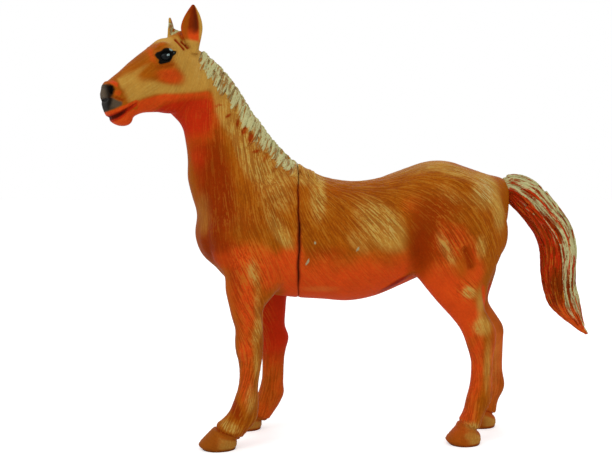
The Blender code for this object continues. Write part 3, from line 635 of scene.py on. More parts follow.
@dataclass(frozen=True)
class ToyPaint:
    """Semi-matt airbrushed paint over moulded plastic, dry-brushed along the hair, with painted highlight on
    the ridges of the hair's strokes and painted shade in their grooves.
    """

    coat: Colour = (0.345, 0.082, 0.002)
    # Painted highlight on the ridges of the hair's strokes
    streak_highlight: Colour = (0.47, 0.185, 0.016)
    ochre: Colour = (0.50, 0.275, 0.046)
    # A paler painted highlight on the ochre ridges
    pale: Colour = (0.56, 0.42, 0.13)
    brown: Colour = (0.255, 0.024, 0.000)
    red: Colour = (0.61, 0.060, 0.006)
    crimson: Colour = (0.49, 0.022, 0.003)
    cream: Colour = (0.50, 0.475, 0.225)
    lock_shade: Colour = (0.27, 0.175, 0.060)
    groove_shade: Colour = (0.20, 0.030, 0.001)
    grey: Colour = (0.090, 0.064, 0.040)
    black: Colour = (0.003, 0.003, 0.003)
    hoof: Colour = (0.31, 0.078, 0.005)
    hoof_toe: Colour = (0.21, 0.052, 0.004)
    chip: Colour = (0.36, 0.30, 0.16)
    # The painted sheen on the eyelids
    sheen: Colour = (0.22, 0.30, 0.28)
    roughness: float = 0.56
    specular: float = 0.06
    specular_tint: Colour = (1.0, 0.66, 0.34)
    # The hair's strokes: noise per metre, how many times it is drawn along the hair, and how far
    stroke_scale: float = 2500.0
    stroke_samples: int = 15
    stroke_length: float = 0.0044
    stroke_contrast: float = 1.55
    # Noise per metre of the blotches, the speckles and the surface's grain
    blotch_scale: float = 170.0
    speckle_scale: float = 1500.0
    grain_scale: float = 620.0

    def strokes(self, shop: NodeShop, place: Wire) -> Wire:
        """Noise drawn out along the hair, about -1 in the grooves and 1 on the ridges.

        Args:
            shop: Adds the nodes.
            place: Object coordinates.

        Returns:
            The strokes.
        """
        way = shop.add("ShaderNodeAttribute", {"attribute_name": "flow"}, {}, "Vector")
        total: Wire | None = None
        for step in np.linspace(-0.5, 0.5, self.stroke_samples):
            shift = (step * self.stroke_length,) * 3
            moved = {0: way, 1: shift, 2: place}
            spot = shop.add("ShaderNodeVectorMath", {"operation": "MULTIPLY_ADD"}, moved)
            value = shop.noise(spot, self.stroke_scale, 0.0)
            total = value if total is None else total + value
        middle = self.stroke_samples * 0.5 * self.stroke_contrast
        return total * self.stroke_contrast - middle + shop.mask("ridge") * 0.22

    def material(self, name: str) -> bpy.types.Material:
        """Builds the paint as a node material that reads the skin's masks.

        Args:
            name: The material's name.

        Returns:
            The material.
        """
        material, shop, shader = new_material(name)
        place = shop.add("ShaderNodeTexCoord", {}, {}, "Object")
        blotch = shop.noise(place, self.blotch_scale, 3.0)
        speckle = shop.noise(place, self.speckle_scale, 2.0)
        groove = shop.mask("groove")
        comb = shop.mask("comb")
        edge = (blotch - 0.5) * 0.55
        strokes = self.strokes(shop, place)
        # Painted highlight on the strokes' ridges and painted shade in their grooves, following the bumped
        # relief
        light = strokes.step(0.15, 1.25) * comb
        dark = (0.0 - strokes).step(0.0, 1.1) * comb
        ridge = shop.mask("ridge")

        def sprayed(paint: Paint) -> Wire:
            """A mask whose soft edge is broken by the airbrush and drawn out along the hair."""
            return (shop.mask(paint.value) + edge * 0.6 + strokes * comb * 0.08).step(0.12, 0.88)

        colour = shop.mix(sprayed(Paint.BROWN), self.coat, self.brown)
        colour = shop.mix(sprayed(Paint.RED), colour, self.red)
        colour = shop.mix(sprayed(Paint.CRIMSON), colour, self.crimson)
        # Painted shade in the strokes' grooves, then painted highlight on their ridges
        colour = shop.mix(dark * 0.52, colour, self.groove_shade)
        colour = shop.mix(light * 0.50, colour, self.streak_highlight)
        ochre = (shop.mask(Paint.OCHRE.value) * 1.2 - 0.10 + edge * 0.5).step(0.0, 0.85)
        bare = (1.0 - (strokes * comb).step(-0.55, 0.85)) * comb
        brushed = ochre * (1.0 - bare * 0.70)
        colour = shop.mix(brushed * 0.92, colour, self.ochre)
        # A paler painted highlight on the ochre ridges
        colour = shop.mix(brushed * light * 0.30, colour, self.pale)
        colour = shop.mix(groove.step(0.15, 0.9) * 0.70, colour, self.groove_shade)
        shaded = groove * 0.70 + (0.35 - ridge) * 0.30 + dark * 0.60 + edge * 0.25
        lock = shop.mix(shaded.step(0.15, 0.95), self.cream, self.lock_shade)
        cream = shop.mask(Paint.CREAM.value)
        strand = cream + cream * strokes * comb * 0.5 + edge * 0.2
        colour = shop.mix(strand.step(0.08, 0.92), colour, lock)
        toe = (place_z(shop, place) * 170.0 + blotch * 0.8).step(0.1, 1.3)
        hoof = shop.mix(toe, self.hoof_toe, self.hoof)
        colour = shop.mix(shop.mask(Paint.HOOF.value), colour, hoof)
        colour = shop.mix((shop.mask(Paint.GREY.value) + edge).step(0.15, 0.90), colour, self.grey)
        colour = shop.mix(shop.mask(Paint.CHIP.value).step(0.35, 0.6), colour, self.chip)
        colour = shop.mix(shop.mask(Paint.BLACK.value).step(0.0, 0.97), colour, self.black)
        # Painted sheen on the eyelids
        colour = shop.mix(shop.mask(Paint.SHEEN.value).step(0.25, 0.75), colour, self.sheen)
        shade = (speckle - 0.5) * 0.30 + (blotch - 0.5) * 0.42 + 1.0
        colour = shop.add("ShaderNodeHueSaturation", {}, {"Color": colour, "Value": shade})
        shop.join(colour, shader.inputs["Base Color"])
        rough = (speckle - 0.5) * 0.22 + self.roughness
        shop.join(rough, shader.inputs["Roughness"])
        grain = speckle * 0.5 + shop.noise(place, self.grain_scale, 2.0) * 0.8 + strokes * comb * 0.85
        raised = {"Strength": 0.5, "Distance": 0.00013, "Height": grain}
        bump = shop.add("ShaderNodeBump", {}, raised)
        shop.join(bump, shader.inputs["Normal"])
        shader.inputs["Specular IOR Level"].default_value = self.specular
        shader.inputs["Specular Tint"].default_value = (*self.specular_tint, 1.0)
        return material


def place_z(shop: NodeShop, place: Wire) -> Wire:
    """The height part of a place."""
    return shop.add("ShaderNodeSeparateXYZ", {}, {"Vector": place}, "Z")


@dataclass(frozen=True)
class EyeGloss:
    """The eyes' glossy black paint, a little paler round the pupil, with painted glints."""

    pupil: Colour = (0.002, 0.003, 0.004)
    iris: Colour = (0.008, 0.010, 0.010)
    glint: Colour = (0.30, 0.40, 0.40)

    def material(self, name: str) -> bpy.types.Material:
        """Builds the gloss as a node material.

        Args:
            name: The material's name.

        Returns:
            The material.
        """
        material, shop, shader = new_material(name)
        place = shop.add("ShaderNodeTexCoord", {}, {}, "Object")
        flecks = shop.noise(place, 2600.0, 3.0)
        share = (shop.mask("iris") + (flecks - 0.5) * 0.5).step(0.2, 0.8)
        colour = shop.mix(share, self.pupil, self.iris)
        shine = (shop.mask("glint") + (flecks - 0.5) * 0.4).step(0.3, 0.8)
        colour = shop.mix(shine, colour, self.glint)
        shop.join(colour, shader.inputs["Base Color"])
        rough = flecks * 0.05 + 0.10
        shop.join(rough, shader.inputs["Roughness"])
        shader.inputs["Specular IOR Level"].default_value = 0.12
        return material


@dataclass(frozen=True)
class StrandSweep:
    """Sizes of the tubes that Geometry Nodes sweep along strand lines."""

    radius: float
    tip_share: float
    variation: float = 0.22
    sides: int = 8
    rings: int = 12
    seed: int = SEED

    def tree(self) -> bpy.types.NodeTree:
        """Builds the node tree with named inputs for its sizes.

        Returns:
            The tree.
        """
        tree = bpy.data.node_groups.new("sweep_strands", "GeometryNodeTree")
        kinds = {
            "Lines": "NodeSocketGeometry",
            "Radius": "NodeSocketFloat",
            "Tip Share": "NodeSocketFloat",
            "Variation": "NodeSocketFloat",
            "Sides": "NodeSocketInt",
            "Rings": "NodeSocketInt",
            "Seed": "NodeSocketInt",
            "Material": "NodeSocketMaterial",
        }
        for name, kind in kinds.items():
            tree.interface.new_socket(name, in_out="INPUT", socket_type=kind)
        tree.interface.new_socket("Strands", in_out="OUTPUT", socket_type="NodeSocketGeometry")
        shop = NodeShop(tree)
        given = tree.nodes.new("NodeGroupInput")
        inputs = {name: Wire(shop, given.outputs[name]) for name in kinds}
        line = {"Curve": inputs["Lines"], "Count": inputs["Rings"]}
        line_wire = shop.add("GeometryNodeResampleCurve", {}, line)
        along = shop.add("GeometryNodeSplineParameter", {}, {}, "Factor")
        strand = shop.add("GeometryNodeCurveOfPoint", {}, {}, "Curve Index")
        least, most = 1 - inputs["Variation"], 1 + inputs["Variation"]
        spread = {2: least, 3: most, "ID": strand, "Seed": inputs["Seed"]}
        luck = shop.add("FunctionNodeRandomValue", {"data_type": "FLOAT"}, spread, 1)
        taper = 1 - (1 - inputs["Tip Share"]) * along**2.2
        circle = {"Resolution": inputs["Sides"], "Radius": 1.0}
        round_profile = shop.add("GeometryNodeCurvePrimitiveCircle", {}, circle)
        swept = {
            "Curve": line_wire,
            "Profile Curve": round_profile,
            "Scale": inputs["Radius"] * taper * luck,
            "Fill Caps": True,
        }
        tubes = shop.add("GeometryNodeCurveToMesh", {}, swept)
        whole = shop.add("GeometryNodeRealizeInstances", {}, {"Geometry": tubes})
        painted = {"Geometry": whole, "Material": inputs["Material"]}
        done = shop.add("GeometryNodeSetMaterial", {}, painted)
        out = tree.nodes.new("NodeGroupOutput")
        shop.join(done, out.inputs["Strands"])
        return tree

    def sweep(self, lines: Sequence[np.ndarray], paint: bpy.types.Material) -> bpy.types.Mesh:
        """Sweeps a tapered tube along each line.

        Args:
            lines: Point rows of each strand, root first.
            paint: The material set on the tubes.

        Returns:
            A mesh of closed tubes.
        """
        data = bpy.data.curves.new("strand_lines", "CURVE")
        data.dimensions = "3D"
        for line in lines:
            spline = data.splines.new("POLY")
            spline.points.add(len(line) - 1)
            spline.points.foreach_set("co", np.column_stack([line, np.ones(len(line))]).ravel())
        strands = linked("strand_lines", data)
        modifier = strands.modifiers.new("sweep", "NODES")
        modifier.node_group = self.tree()
        values = {
            "Radius": self.radius,
            "Tip Share": self.tip_share,
            "Variation": self.variation,
            "Sides": self.sides,
            "Rings": self.rings,
            "Seed": self.seed,
            "Material": paint,
        }
        for item in modifier.node_group.interface.items_tree:
            if item.in_out == "INPUT" and item.name in values:
                modifier[item.identifier] = values[item.name]
        return take_mesh(strands)


@dataclass(frozen=True)
class Spray:
    """One soft oval of paint or of combed coat, on a side view."""

    along: float
    height: float
    half_length: float
    half_height: float
    turn: float = 0.0
    strength: float = 1.0

    def cover(self, along: np.ndarray, height: np.ndarray) -> np.ndarray:
        """How much of the spray reaches each place.

        Args:
            along: First coordinates of the places.
            height: Second coordinates of the places.

        Returns:
            Cover from 0 to the strength.
        """
        cosine, sine = math.cos(math.radians(self.turn)), math.sin(math.radians(self.turn))
        dx, dz = along - self.along, height - self.height
        u = (dx * cosine + dz * sine) / self.half_length
        v = (dz * cosine - dx * sine) / self.half_height
        return self.strength * np.exp(-((u * u + v * v) ** 1.4) * 0.9)


def sprays(*rows: Row) -> tuple[Spray, ...]:
    """Sprays from rows of place along and up, half length and height, turn and strength."""
    return tuple(Spray(*row) for row in rows)


def layered(coats: Iterable[Spray], along: np.ndarray, height: np.ndarray) -> np.ndarray:
    """Sprays laid over each other, each covering part of what is left."""
    bare = np.ones(len(along))
    for spray in coats:
        bare *= 1 - np.clip(spray.cover(along, height), 0, 1)
    return 1 - bare


def line_distance(
    along: np.ndarray, height: np.ndarray, line: Sequence[Row]
) -> tuple[np.ndarray, np.ndarray]:
    """Distance of places from a line, and how far along it the nearest point is.

    Args:
        along: First coordinates of the places.
        height: Second coordinates of the places.
        line: Corners of the line.

    Returns:
        The distances, and shares of the line from 0 to 1.
    """
    corners = np.array(line, float)
    lengths = np.linalg.norm(np.diff(corners, axis=0), axis=1)
    reached = np.concatenate([[0.0], np.cumsum(lengths)])
    nearest = np.full(len(along), np.inf)
    share = np.zeros(len(along))
    for start, step, length, before in zip(corners, np.diff(corners, axis=0), lengths, reached):
        t = np.clip(((along - start[0]) * step[0] + (height - start[1]) * step[1]) / length**2, 0, 1)
        gap = np.hypot(along - start[0] - t * step[0], height - start[1] - t * step[1])
        closer = gap < nearest
        nearest = np.where(closer, gap, nearest)
        share = np.where(closer, (before + t * length) / reached[-1], share)
    return nearest, share


@dataclass(frozen=True)
class Patch:
    """An outlined patch of paint with a soft edge, on a side view."""

    outline: Outline
    edge: float = 0.6
    strength: float = 1.0

    def depth(self, along: np.ndarray, height: np.ndarray) -> np.ndarray:
        """How far inside the outline each place is, negative outside.

        Args:
            along: First coordinates of the places.
            height: Second coordinates of the places.

        Returns:
            The depths.
        """
        closed = (*self.outline, self.outline[0])
        inside = np.zeros(len(along), bool)
        for (x0, z0), (x1, z1) in zip(closed, closed[1:]):
            if z0 != z1:
                crossed = (height > z0) != (height > z1)
                inside ^= crossed & (along < x0 + (height - z0) * (x1 - x0) / (z1 - z0))
        return np.where(inside, 1, -1) * line_distance(along, height, closed)[0]

    def cover(self, along: np.ndarray, height: np.ndarray) -> np.ndarray:
        """How much of the patch's paint each place takes."""
        return self.strength * smooth_step(-self.edge, self.edge, self.depth(along, height))


@dataclass(frozen=True)
class Cut:
    """A line carved into the skin, or raised from it when the depth is negative."""

    line: Outline
    half_width: float
    depth: float
    # The paint and the black laid along the cut, as painted shade in its crease
    paint: Paint | None = None
    darkness: float = 0.0

    def bite(self, along: np.ndarray, height: np.ndarray) -> np.ndarray:
        """How much of the cut's depth each place takes, from 0 to 1."""
        gap, share = line_distance(along, height, self.line)
        ends = smooth_step(0.0, 0.18, share) * smooth_step(0.0, 0.18, 1 - share) * 0.75 + 0.25
        return np.exp(-((gap / self.half_width) ** 2)) * ends


class Sculpture:
    """A skin held as arrays, carved and painted point by point."""

    def __init__(self, mesh: bpy.types.Mesh) -> None:
        """Takes over a mesh in millimetres."""
        self.mesh = mesh
        self.points = mesh_points(mesh)
        self.normals = np.empty_like(self.points)
        names = [*(paint.value for paint in Paint), "groove", "comb", "ridge"]
        self.masks: dict[str, np.ndarray] = {name: np.zeros(len(self.points)) for name in names}
        self.flow = np.zeros_like(self.points)
        self.settle()

    def settle(self) -> None:
        """Writes the points to the mesh and reads its normals."""
        set_points(self.mesh, self.points)
        self.mesh.update()
        normals = np.empty(len(self.points) * 3, np.float32)
        self.mesh.vertex_normals.foreach_get("vector", normals)
        self.normals = normals.reshape(-1, 3).astype(np.float64)

    def push(self, depths: np.ndarray) -> None:
        """Moves the skin inwards by depths, in millimetres."""
        self.points -= self.normals * depths[:, None]

    def sideways(self) -> np.ndarray:
        """How far each point of the body faces out to its own side, and nothing on the head."""
        outward = np.sign(self.points[:, 1])
        return smooth_step(0.05, 0.5, self.normals[:, 1] * outward) * (self.points[:, 2] < BODY_TOP)

    def cover(self, paint: Paint, share: np.ndarray) -> None:
        """Lays more of a paint over what is there."""
        mask = self.masks[paint.value]
        mask[:] = 1 - (1 - mask) * (1 - np.clip(share, 0, 1))

    def lay(self, paint: Paint, share: np.ndarray) -> None:
        """Lays a paint so that it hides all others by its share."""
        self.wipe(Paint, share)
        self.cover(paint, share)

    def draw(self, cut: Cut, along: np.ndarray, height: np.ndarray, within: np.ndarray) -> None:
        """Paints a carved line as painted shade in its crease, darker in its middle."""
        if cut.paint:
            bite = cut.bite(along, height) * within
            self.lay(cut.paint, bite)
            self.cover(Paint.BLACK, bite * cut.darkness)

    def ruffle(self, cell: float, length: float, depth: float, luck: np.random.Generator) -> None:
        """Raises fine ridges along the hair, from smooth noise averaged along it.

        Args:
            cell: The noise's grain in millimetres.
            length: How long a ridge is.
            depth: How far a ridge rises.
            luck: The seeded random source.
        """
        size, samples, gain = 1024, 9, 0.8
        table = luck.permutation(size)
        ridge = np.zeros(len(self.points))
        for step in np.linspace(-0.5, 0.5, samples):
            spots = (self.points + self.flow * step * length) / cell
            low = np.floor(spots).astype(np.int64)
            part = spots - low
            part = part * part * (3 - 2 * part)
            for corner in np.ndindex(2, 2, 2):
                keys = np.zeros(len(low), np.int64)
                share = np.ones(len(low))
                for axis, high in enumerate(corner):
                    keys = table[(keys + low[:, axis] + high) % size]
                    share *= part[:, axis] if high else 1 - part[:, axis]
                ridge += share * (keys / ((size - 1) / 2) - 1)
        ridge *= gain
        self.masks["ridge"] = ridge
        self.push(-ridge * self.masks["comb"] * depth)

    def wipe(self, paints: Iterable[Paint], share: np.ndarray) -> None:
        """Takes paint away by a share."""
        for paint in paints:
            self.masks[paint.value] *= 1 - np.clip(share, 0, 1)

    def store(self) -> None:
        """Writes the masks and the hair's flow to the mesh as attributes."""
        self.settle()
        for name, values in self.masks.items():
            set_mask(self.mesh, name, values)
        flow = self.mesh.attributes.new("flow", "FLOAT_VECTOR", "POINT")
        flow.data.foreach_set("vector", self.flow.astype(np.float32).ravel())


@dataclass
class Hairs:
    """What is known of the nearest strand at each of many places."""

    gap: np.ndarray
    sideways: np.ndarray
    along: np.ndarray
    owner: np.ndarray
    way: np.ndarray


class StrandMap:
    """Finds the nearest of many strand lines to any place."""

    def __init__(self, lines: Sequence[np.ndarray], spacing: float = 0.15) -> None:
        """Notes places along every line.

        Args:
            lines: Point rows of each strand, root first.
            spacing: The distance between noted places.
        """
        places, ways, shares, owners = [], [], [], []
        for owner, line in enumerate(lines):
            reached = np.concatenate([[0.0], np.cumsum(np.linalg.norm(np.diff(line, axis=0), axis=1))])
            at = np.linspace(0, reached[-1], max(3, int(reached[-1] / spacing)))
            spots = np.stack([np.interp(at, reached, line[:, k]) for k in range(3)], axis=1)
            steps = np.gradient(spots, axis=0)
            places.append(spots)
            ways.append(steps / np.linalg.norm(steps, axis=1, keepdims=True))
            shares.append(at / reached[-1])
            owners.append(np.full(len(at), owner))
        self.places, self.ways = np.concatenate(places), np.concatenate(ways)
        self.shares, self.owners = np.concatenate(shares), np.concatenate(owners)
        self.tree = KDTree(len(self.places))
        for index, place in enumerate(self.places):
            self.tree.insert(place, index)
        self.tree.balance()

    def measure(self, points: np.ndarray, normals: np.ndarray) -> Hairs:
        """Measures places on a skin against the strands.

        Args:
            points: The places.
            normals: The skin's normals there.

        Returns:
            The nearest strands: how far off they are, how far across the hair, how far along the
            strand the place is, which strand it is and its direction.
        """
        index = np.array([self.tree.find(point)[1] for point in points], np.int64)
        away, way = points - self.places[index], self.ways[index]
        across = np.cross(way, normals)
        across /= np.maximum(np.linalg.norm(across, axis=1, keepdims=True), 0.2)
        sideways = np.abs(np.sum(away * across, axis=1))
        return Hairs(np.linalg.norm(away, axis=1), sideways, self.shares[index], self.owners[index], way)


@dataclass
class Coat:
    """Which way the short hair of the coat grows."""

    # Evens the growth out round each place where it is given, in square millimetres
    softness: float = 4.0
    # Where the hair grows: x, z and its direction in degrees below the line to the tail
    growth: tuple[tuple[float, float, float], ...] = (
        (-25.4, 106.0, 88), (-20.8, 98.4, 86), (-17.7, 90.6, 85), (-25.4, 89.0, 88), (-14.7, 82.9, 76),
        (-8.6, 75.3, 68), (-7.1, 66.2, 70), (-20.8, 73.7, 82), (-2.5, 76.8, 76), (2.2, 79.8, 70),
        (4.0, 69.0, 60), (6.8, 76.8, 50), (11.2, 72.2, 52), (18.8, 72.2, 48), (24.8, 72.2, 48),
        (27.9, 63.1, 56), (12.6, 63.2, 54), (18.6, 61.6, 50), (10.4, 82.4, 12), (23.1, 83.4, -4),
        (32.3, 86.0, -18), (41.7, 88.2, -2), (51.2, 86.0, 28), (35.9, 79.8, 30), (41.8, 76.8, 42),
        (47.9, 75.3, 48), (49.4, 69.2, 56), (55.8, 67.6, 64), (54.2, 63.0, 70), (41.7, 63.0, 58),
        (44.8, 60.0, 60), (-16.2, 57.2, 62), (-14.1, 53.2, 66), (-16.0, 38.6, 60), (-18.5, 20.1, 104),
        (-21.0, 9.6, 112), (52.3, 11.4, 98), (55.2, 38.0, 70), (50.0, 48.0, 40), (10.0, 50.0, 50),
        (-30.0, 70.0, 84), (-31.0, 95.0, 88), (62.0, 10.0, 98), (-10.0, 18.0, 100),
        (-38.0, 112.0, 110), (-46.0, 110.0, 150), (-52.0, 116.0, 142), (-40.0, 119.0, 120),
    )

    def flow(self, points: np.ndarray, normals: np.ndarray) -> np.ndarray:
        """The hair's direction along the skin.

        Args:
            points: Places on the skin.
            normals: The skin's normals there.

        Returns:
            Unit directions.
        """
        sums = np.zeros((len(points), 2))
        for x, z, angle in self.growth:
            weight = 1 / ((points[:, 0] - x) ** 2 + (points[:, 2] - z) ** 2 + self.softness) ** 1.5
            sums[:, 0] += weight * math.cos(math.radians(angle))
            sums[:, 1] -= weight * math.sin(math.radians(angle))
        way = np.stack([sums[:, 0], np.zeros(len(points)), sums[:, 1]], axis=1)
        way -= normals * np.sum(way * normals, axis=1, keepdims=True)
        return way / np.maximum(np.linalg.norm(way, axis=1, keepdims=True), 1e-6)


@dataclass
class Ear:
    """A pricked ear: a leaf with a hollow face."""

    forward: float
    outward: float
    rise: float
    facing: float
    hollow_depth: float = 1.3

    @property
    def face(self) -> tuple[float, float]:
        """The way the ear's hollow faces, along x and y."""
        turned = HEAD_TURN + self.facing
        return math.cos(turned), math.sin(turned)

    def point(self, along: float, deep: float, height: float) -> Vector:
        """A point of the ear: along its width, towards its face, and up."""
        cosine, sine = self.face
        shift = Vector((-sine * along, cosine * along, 0.0))
        shift += Vector((cosine * deep, sine * deep, 0.0))
        return head_point(self.forward, self.outward, height + self.rise) + shift

    def add_to(self, clay: Clay) -> None:
        """Adds the leaf to the clay."""
        rings = []
        angles = [math.tau * step / EAR_SIDES for step in range(EAR_SIDES)]
        for along, height, half_width, half_depth in smoothed(EAR, EAR_STEPS):
            spots = [(along + half_width * math.cos(a), half_depth * math.sin(a)) for a in angles]
            rings.append([self.point(across, deep, height) for across, deep in spots])
        clay.loft(rings)

    def local(self, points: np.ndarray) -> tuple[np.ndarray, np.ndarray, np.ndarray]:
        """Points as along, deep and height of the ear."""
        base = head_point(self.forward, self.outward, self.rise)
        cosine, sine = self.face
        dx, dy = points[:, 0] - base.x, points[:, 1] - base.y
        along = -dx * sine + dy * cosine
        deep = dx * cosine + dy * sine
        return along, deep, points[:, 2] - self.rise

    def carve(self, skin: Sculpture) -> None:
        """Hollows the ear's face."""
        faces, place, height, inside = self.leaf(skin)
        bowl = np.clip(1 - place**2, 0, 1) * smooth_step(124.5, 127.5, height)
        bowl *= smooth_step(136.4, 133.0, height)
        hollow = bowl * smooth_step(0.15, 0.6, faces) * inside
        shift = np.array([*self.face, 0.0])
        skin.points -= shift[None, :] * (hollow * self.hollow_depth)[:, None]

    def leaf(self, skin: Sculpture) -> tuple[np.ndarray, ...]:
        """Where the skin lies on the ear.

        Args:
            skin: The skin.

        Returns:
            How far each point faces the ear's face, its place across the leaf from -1 to 1, its height,
            and whether it's on the ear.
        """
        along, deep, height = self.local(skin.points)
        rows = np.array(smoothed(EAR, EAR_STEPS))
        middle = np.interp(height, rows[:, 1], rows[:, 0])
        half = np.interp(height, rows[:, 1], rows[:, 2])
        inside = (height > 123.5) & (height < 137) & (np.abs(along) < 4.5) & (np.abs(deep) < 3.4)
        cosine, sine = self.face
        faces = skin.normals[:, 0] * cosine + skin.normals[:, 1] * sine
        return faces, (along - middle) / np.maximum(half, 0.4), height, inside

    def paint(self, skin: Sculpture) -> None:
        """Paints the hollow dark brown, deepened with black as painted shade, one rim red-brown and the other
        ochre.
        """
        faces, place, height, inside = self.leaf(skin)
        ear = inside * smooth_step(124.5, 126.5, height) * smooth_step(1.45, 1.10, np.abs(place))
        skin.wipe(Paint, ear)
        skin.masks["comb"] *= 1 - ear * 0.5
        bowl = np.clip(1 - ((place - 0.12) / 0.58) ** 2, 0, 1) * smooth_step(126.0, 129.0, height)
        dark = smooth_step(0.0, 0.8, bowl) * smooth_step(0.0, 0.4, faces)
        skin.cover(Paint.OCHRE, ear * smooth_step(0.45, 0.85, place) * 0.80)
        skin.cover(Paint.RED, ear * smooth_step(-0.5, -1.0, place) * 0.35)
        skin.cover(Paint.OCHRE, ear * smooth_step(0.6, 0.2, np.abs(place + 0.55)) * 0.12)
        skin.cover(Paint.BROWN, ear * (0.42 + 0.50 * smooth_step(133.0, 135.5, height)))
        base = smooth_step(130.8, 126.6, height) * smooth_step(-0.9, -0.2, place)
        base = base * smooth_step(1.4, 1.1, place) * (self.outward > 0)
        skin.cover(Paint.RED, inside * base * smooth_step(123.5, 125.0, height) * 0.78)
        # The hollow's brown, deepened with black as painted shade
        skin.cover(Paint.BROWN, ear * dark)
        skin.cover(Paint.BLACK, ear * dark * (0.30 + 0.25 * smooth_step(-0.2, 0.4, place)))


@dataclass
class Mane:
    """Locks of three strands that fall from the crest of the neck on both sides, and a forelock."""

    lock_pitch: float = 2.9
    strand_pitch: float = 0.86
    members: tuple[int, ...] = (-1, 0, 1)
    first: float = 4.4
    groove_depth: float = 0.22
    sweep: StrandSweep = field(default_factory=lambda: StrandSweep(0.50, 0.45, variation=0.16))
    tuft_sweep: StrandSweep = field(default_factory=lambda: StrandSweep(0.72, 0.40))
    # How far short of the crest's end the last lock starts, and how many steps a strand has
    last_gap: float = 2.6
    strand_steps: int = 10
    # Where the cream paint ends on the neck: x and z
    cream_edge: Outline = (
        (-36.5, 124.0), (-33.8, 119.0), (-31.2, 114.0), (-28.4, 109.8), (-25.6, 107.2), (-21.8, 105.4),
        (-20.4, 102.6), (-18.9, 98.9), (-16.6, 97.0), (-14.8, 93.4), (-12.6, 92.0), (-11.0, 89.2),
        (-8.6, 86.6), (-6.0, 85.6), (-2.8, 86.6), (-2.0, 90.0),
    )
    # How a strand turns at its root and tip, in degrees, by its root's place along the horse
    turns: tuple[Row, ...] = (
        (-34.0, -96.0, -112.0),
        (-20.0, -98.0, -112.0),
        (-12.0, -94.0, -122.0),
        (-8.0, -72.0, -146.0),
        (-3.2, -60.0, -150.0),
        (-2.4, -80.0, -62.0),
        (6.0, -70.0, -56.0),
    )

    def lines(self, base: BVHTree, luck: np.random.Generator) -> list[np.ndarray]:
        """Strand lines on the neck, root first.

        Args:
            base: The bare skin, on which the strands lie.
            luck: The seeded random source.

        Returns:
            Point rows of each strand.
        """
        rows = np.array(smoothed(CREST, 12))
        steps = np.linalg.norm(np.diff(rows[:, :3], axis=0), axis=1)
        reached = np.concatenate([[0.0], np.cumsum(steps)])
        lines = []
        for side in Side:
            for lock_place in np.arange(self.first, reached[-1] - self.last_gap, self.lock_pitch):
                lean, share = luck.normal(0.0, 4.0), luck.uniform(0.82, 1.12)
                rise = luck.uniform(-0.10, 0.25)
                for member in self.members:
                    offset = member * self.strand_pitch
                    root = np.array([np.interp(lock_place + offset, reached, rows[:, k]) for k in range(4)])
                    root[2] += rise - 0.12 * abs(member)
                    length = root[3] * share * luck.uniform(0.86, 1.04) * (1.0 if member == 0 else 0.90)
                    own_lean = lean + luck.normal(0.0, 2.0)
                    lines.append(self.strand(base, root, side, length, offset, own_lean))
        return lines

    def strand(
        self, base: BVHTree, root: np.ndarray, side: Side, length: float, offset: float, lean: float
    ) -> np.ndarray:
        """One strand, drawn a little towards its lock's middle and laid on the neck.

        Args:
            base: The bare skin.
            root: The crest point and lock length.
            side: The side that it falls on.
            length: Its own length.
            offset: Its place along the crest from its lock's middle.
            lean: Its own turn in degrees.

        Returns:
            Its point rows.
        """
        turns = np.array(self.turns)
        start, end = (np.interp(root[0], turns[:, 0], turns[:, k]) for k in (1, 2))
        spot = np.array([root[0], root[2] - 0.30])
        line = [np.array([spot[0], root[1], spot[1]])]
        beside = 40.0
        for step in range(1, self.strand_steps + 1):
            t = step / self.strand_steps
            angle = math.radians(start + (end - start) * t + lean * t)
            spot = spot + np.array([math.cos(angle), math.sin(angle)]) * length / self.strand_steps
            spot[0] -= offset * 0.05 * t
            start_place = Vector((spot[0], side.value * beside, spot[1]))
            hit = base.ray_cast(start_place, Vector((0, -side.value, 0)))
            if hit[0] is None:
                line.append(np.array([spot[0], root[1] + side.value * 0.9 * t, spot[1]]))
            else:
                line.append(np.array(hit[0] + hit[1] * (0.12 - 0.26 * t**2)))
        return np.array(line)

    def forelock(self) -> list[np.ndarray]:
        """Strands of the small tuft that stands beside the far ear."""
        lines = []
        for share in np.linspace(0.0, 1.0, 6):
            outward = -2.6 + 2.6 * share
            spots = (
                (8.8 - 3.2 * share, outward, 125.8 + 0.5 * share),
                (8.4 - 2.8 * share, outward, 128.0),
                (8.0 - 2.6 * share, outward - 0.2, 130.6 - 2.0 * share),
            )
            lines.append(np.array([head_point(*spot) for spot in spots]))
        return lines


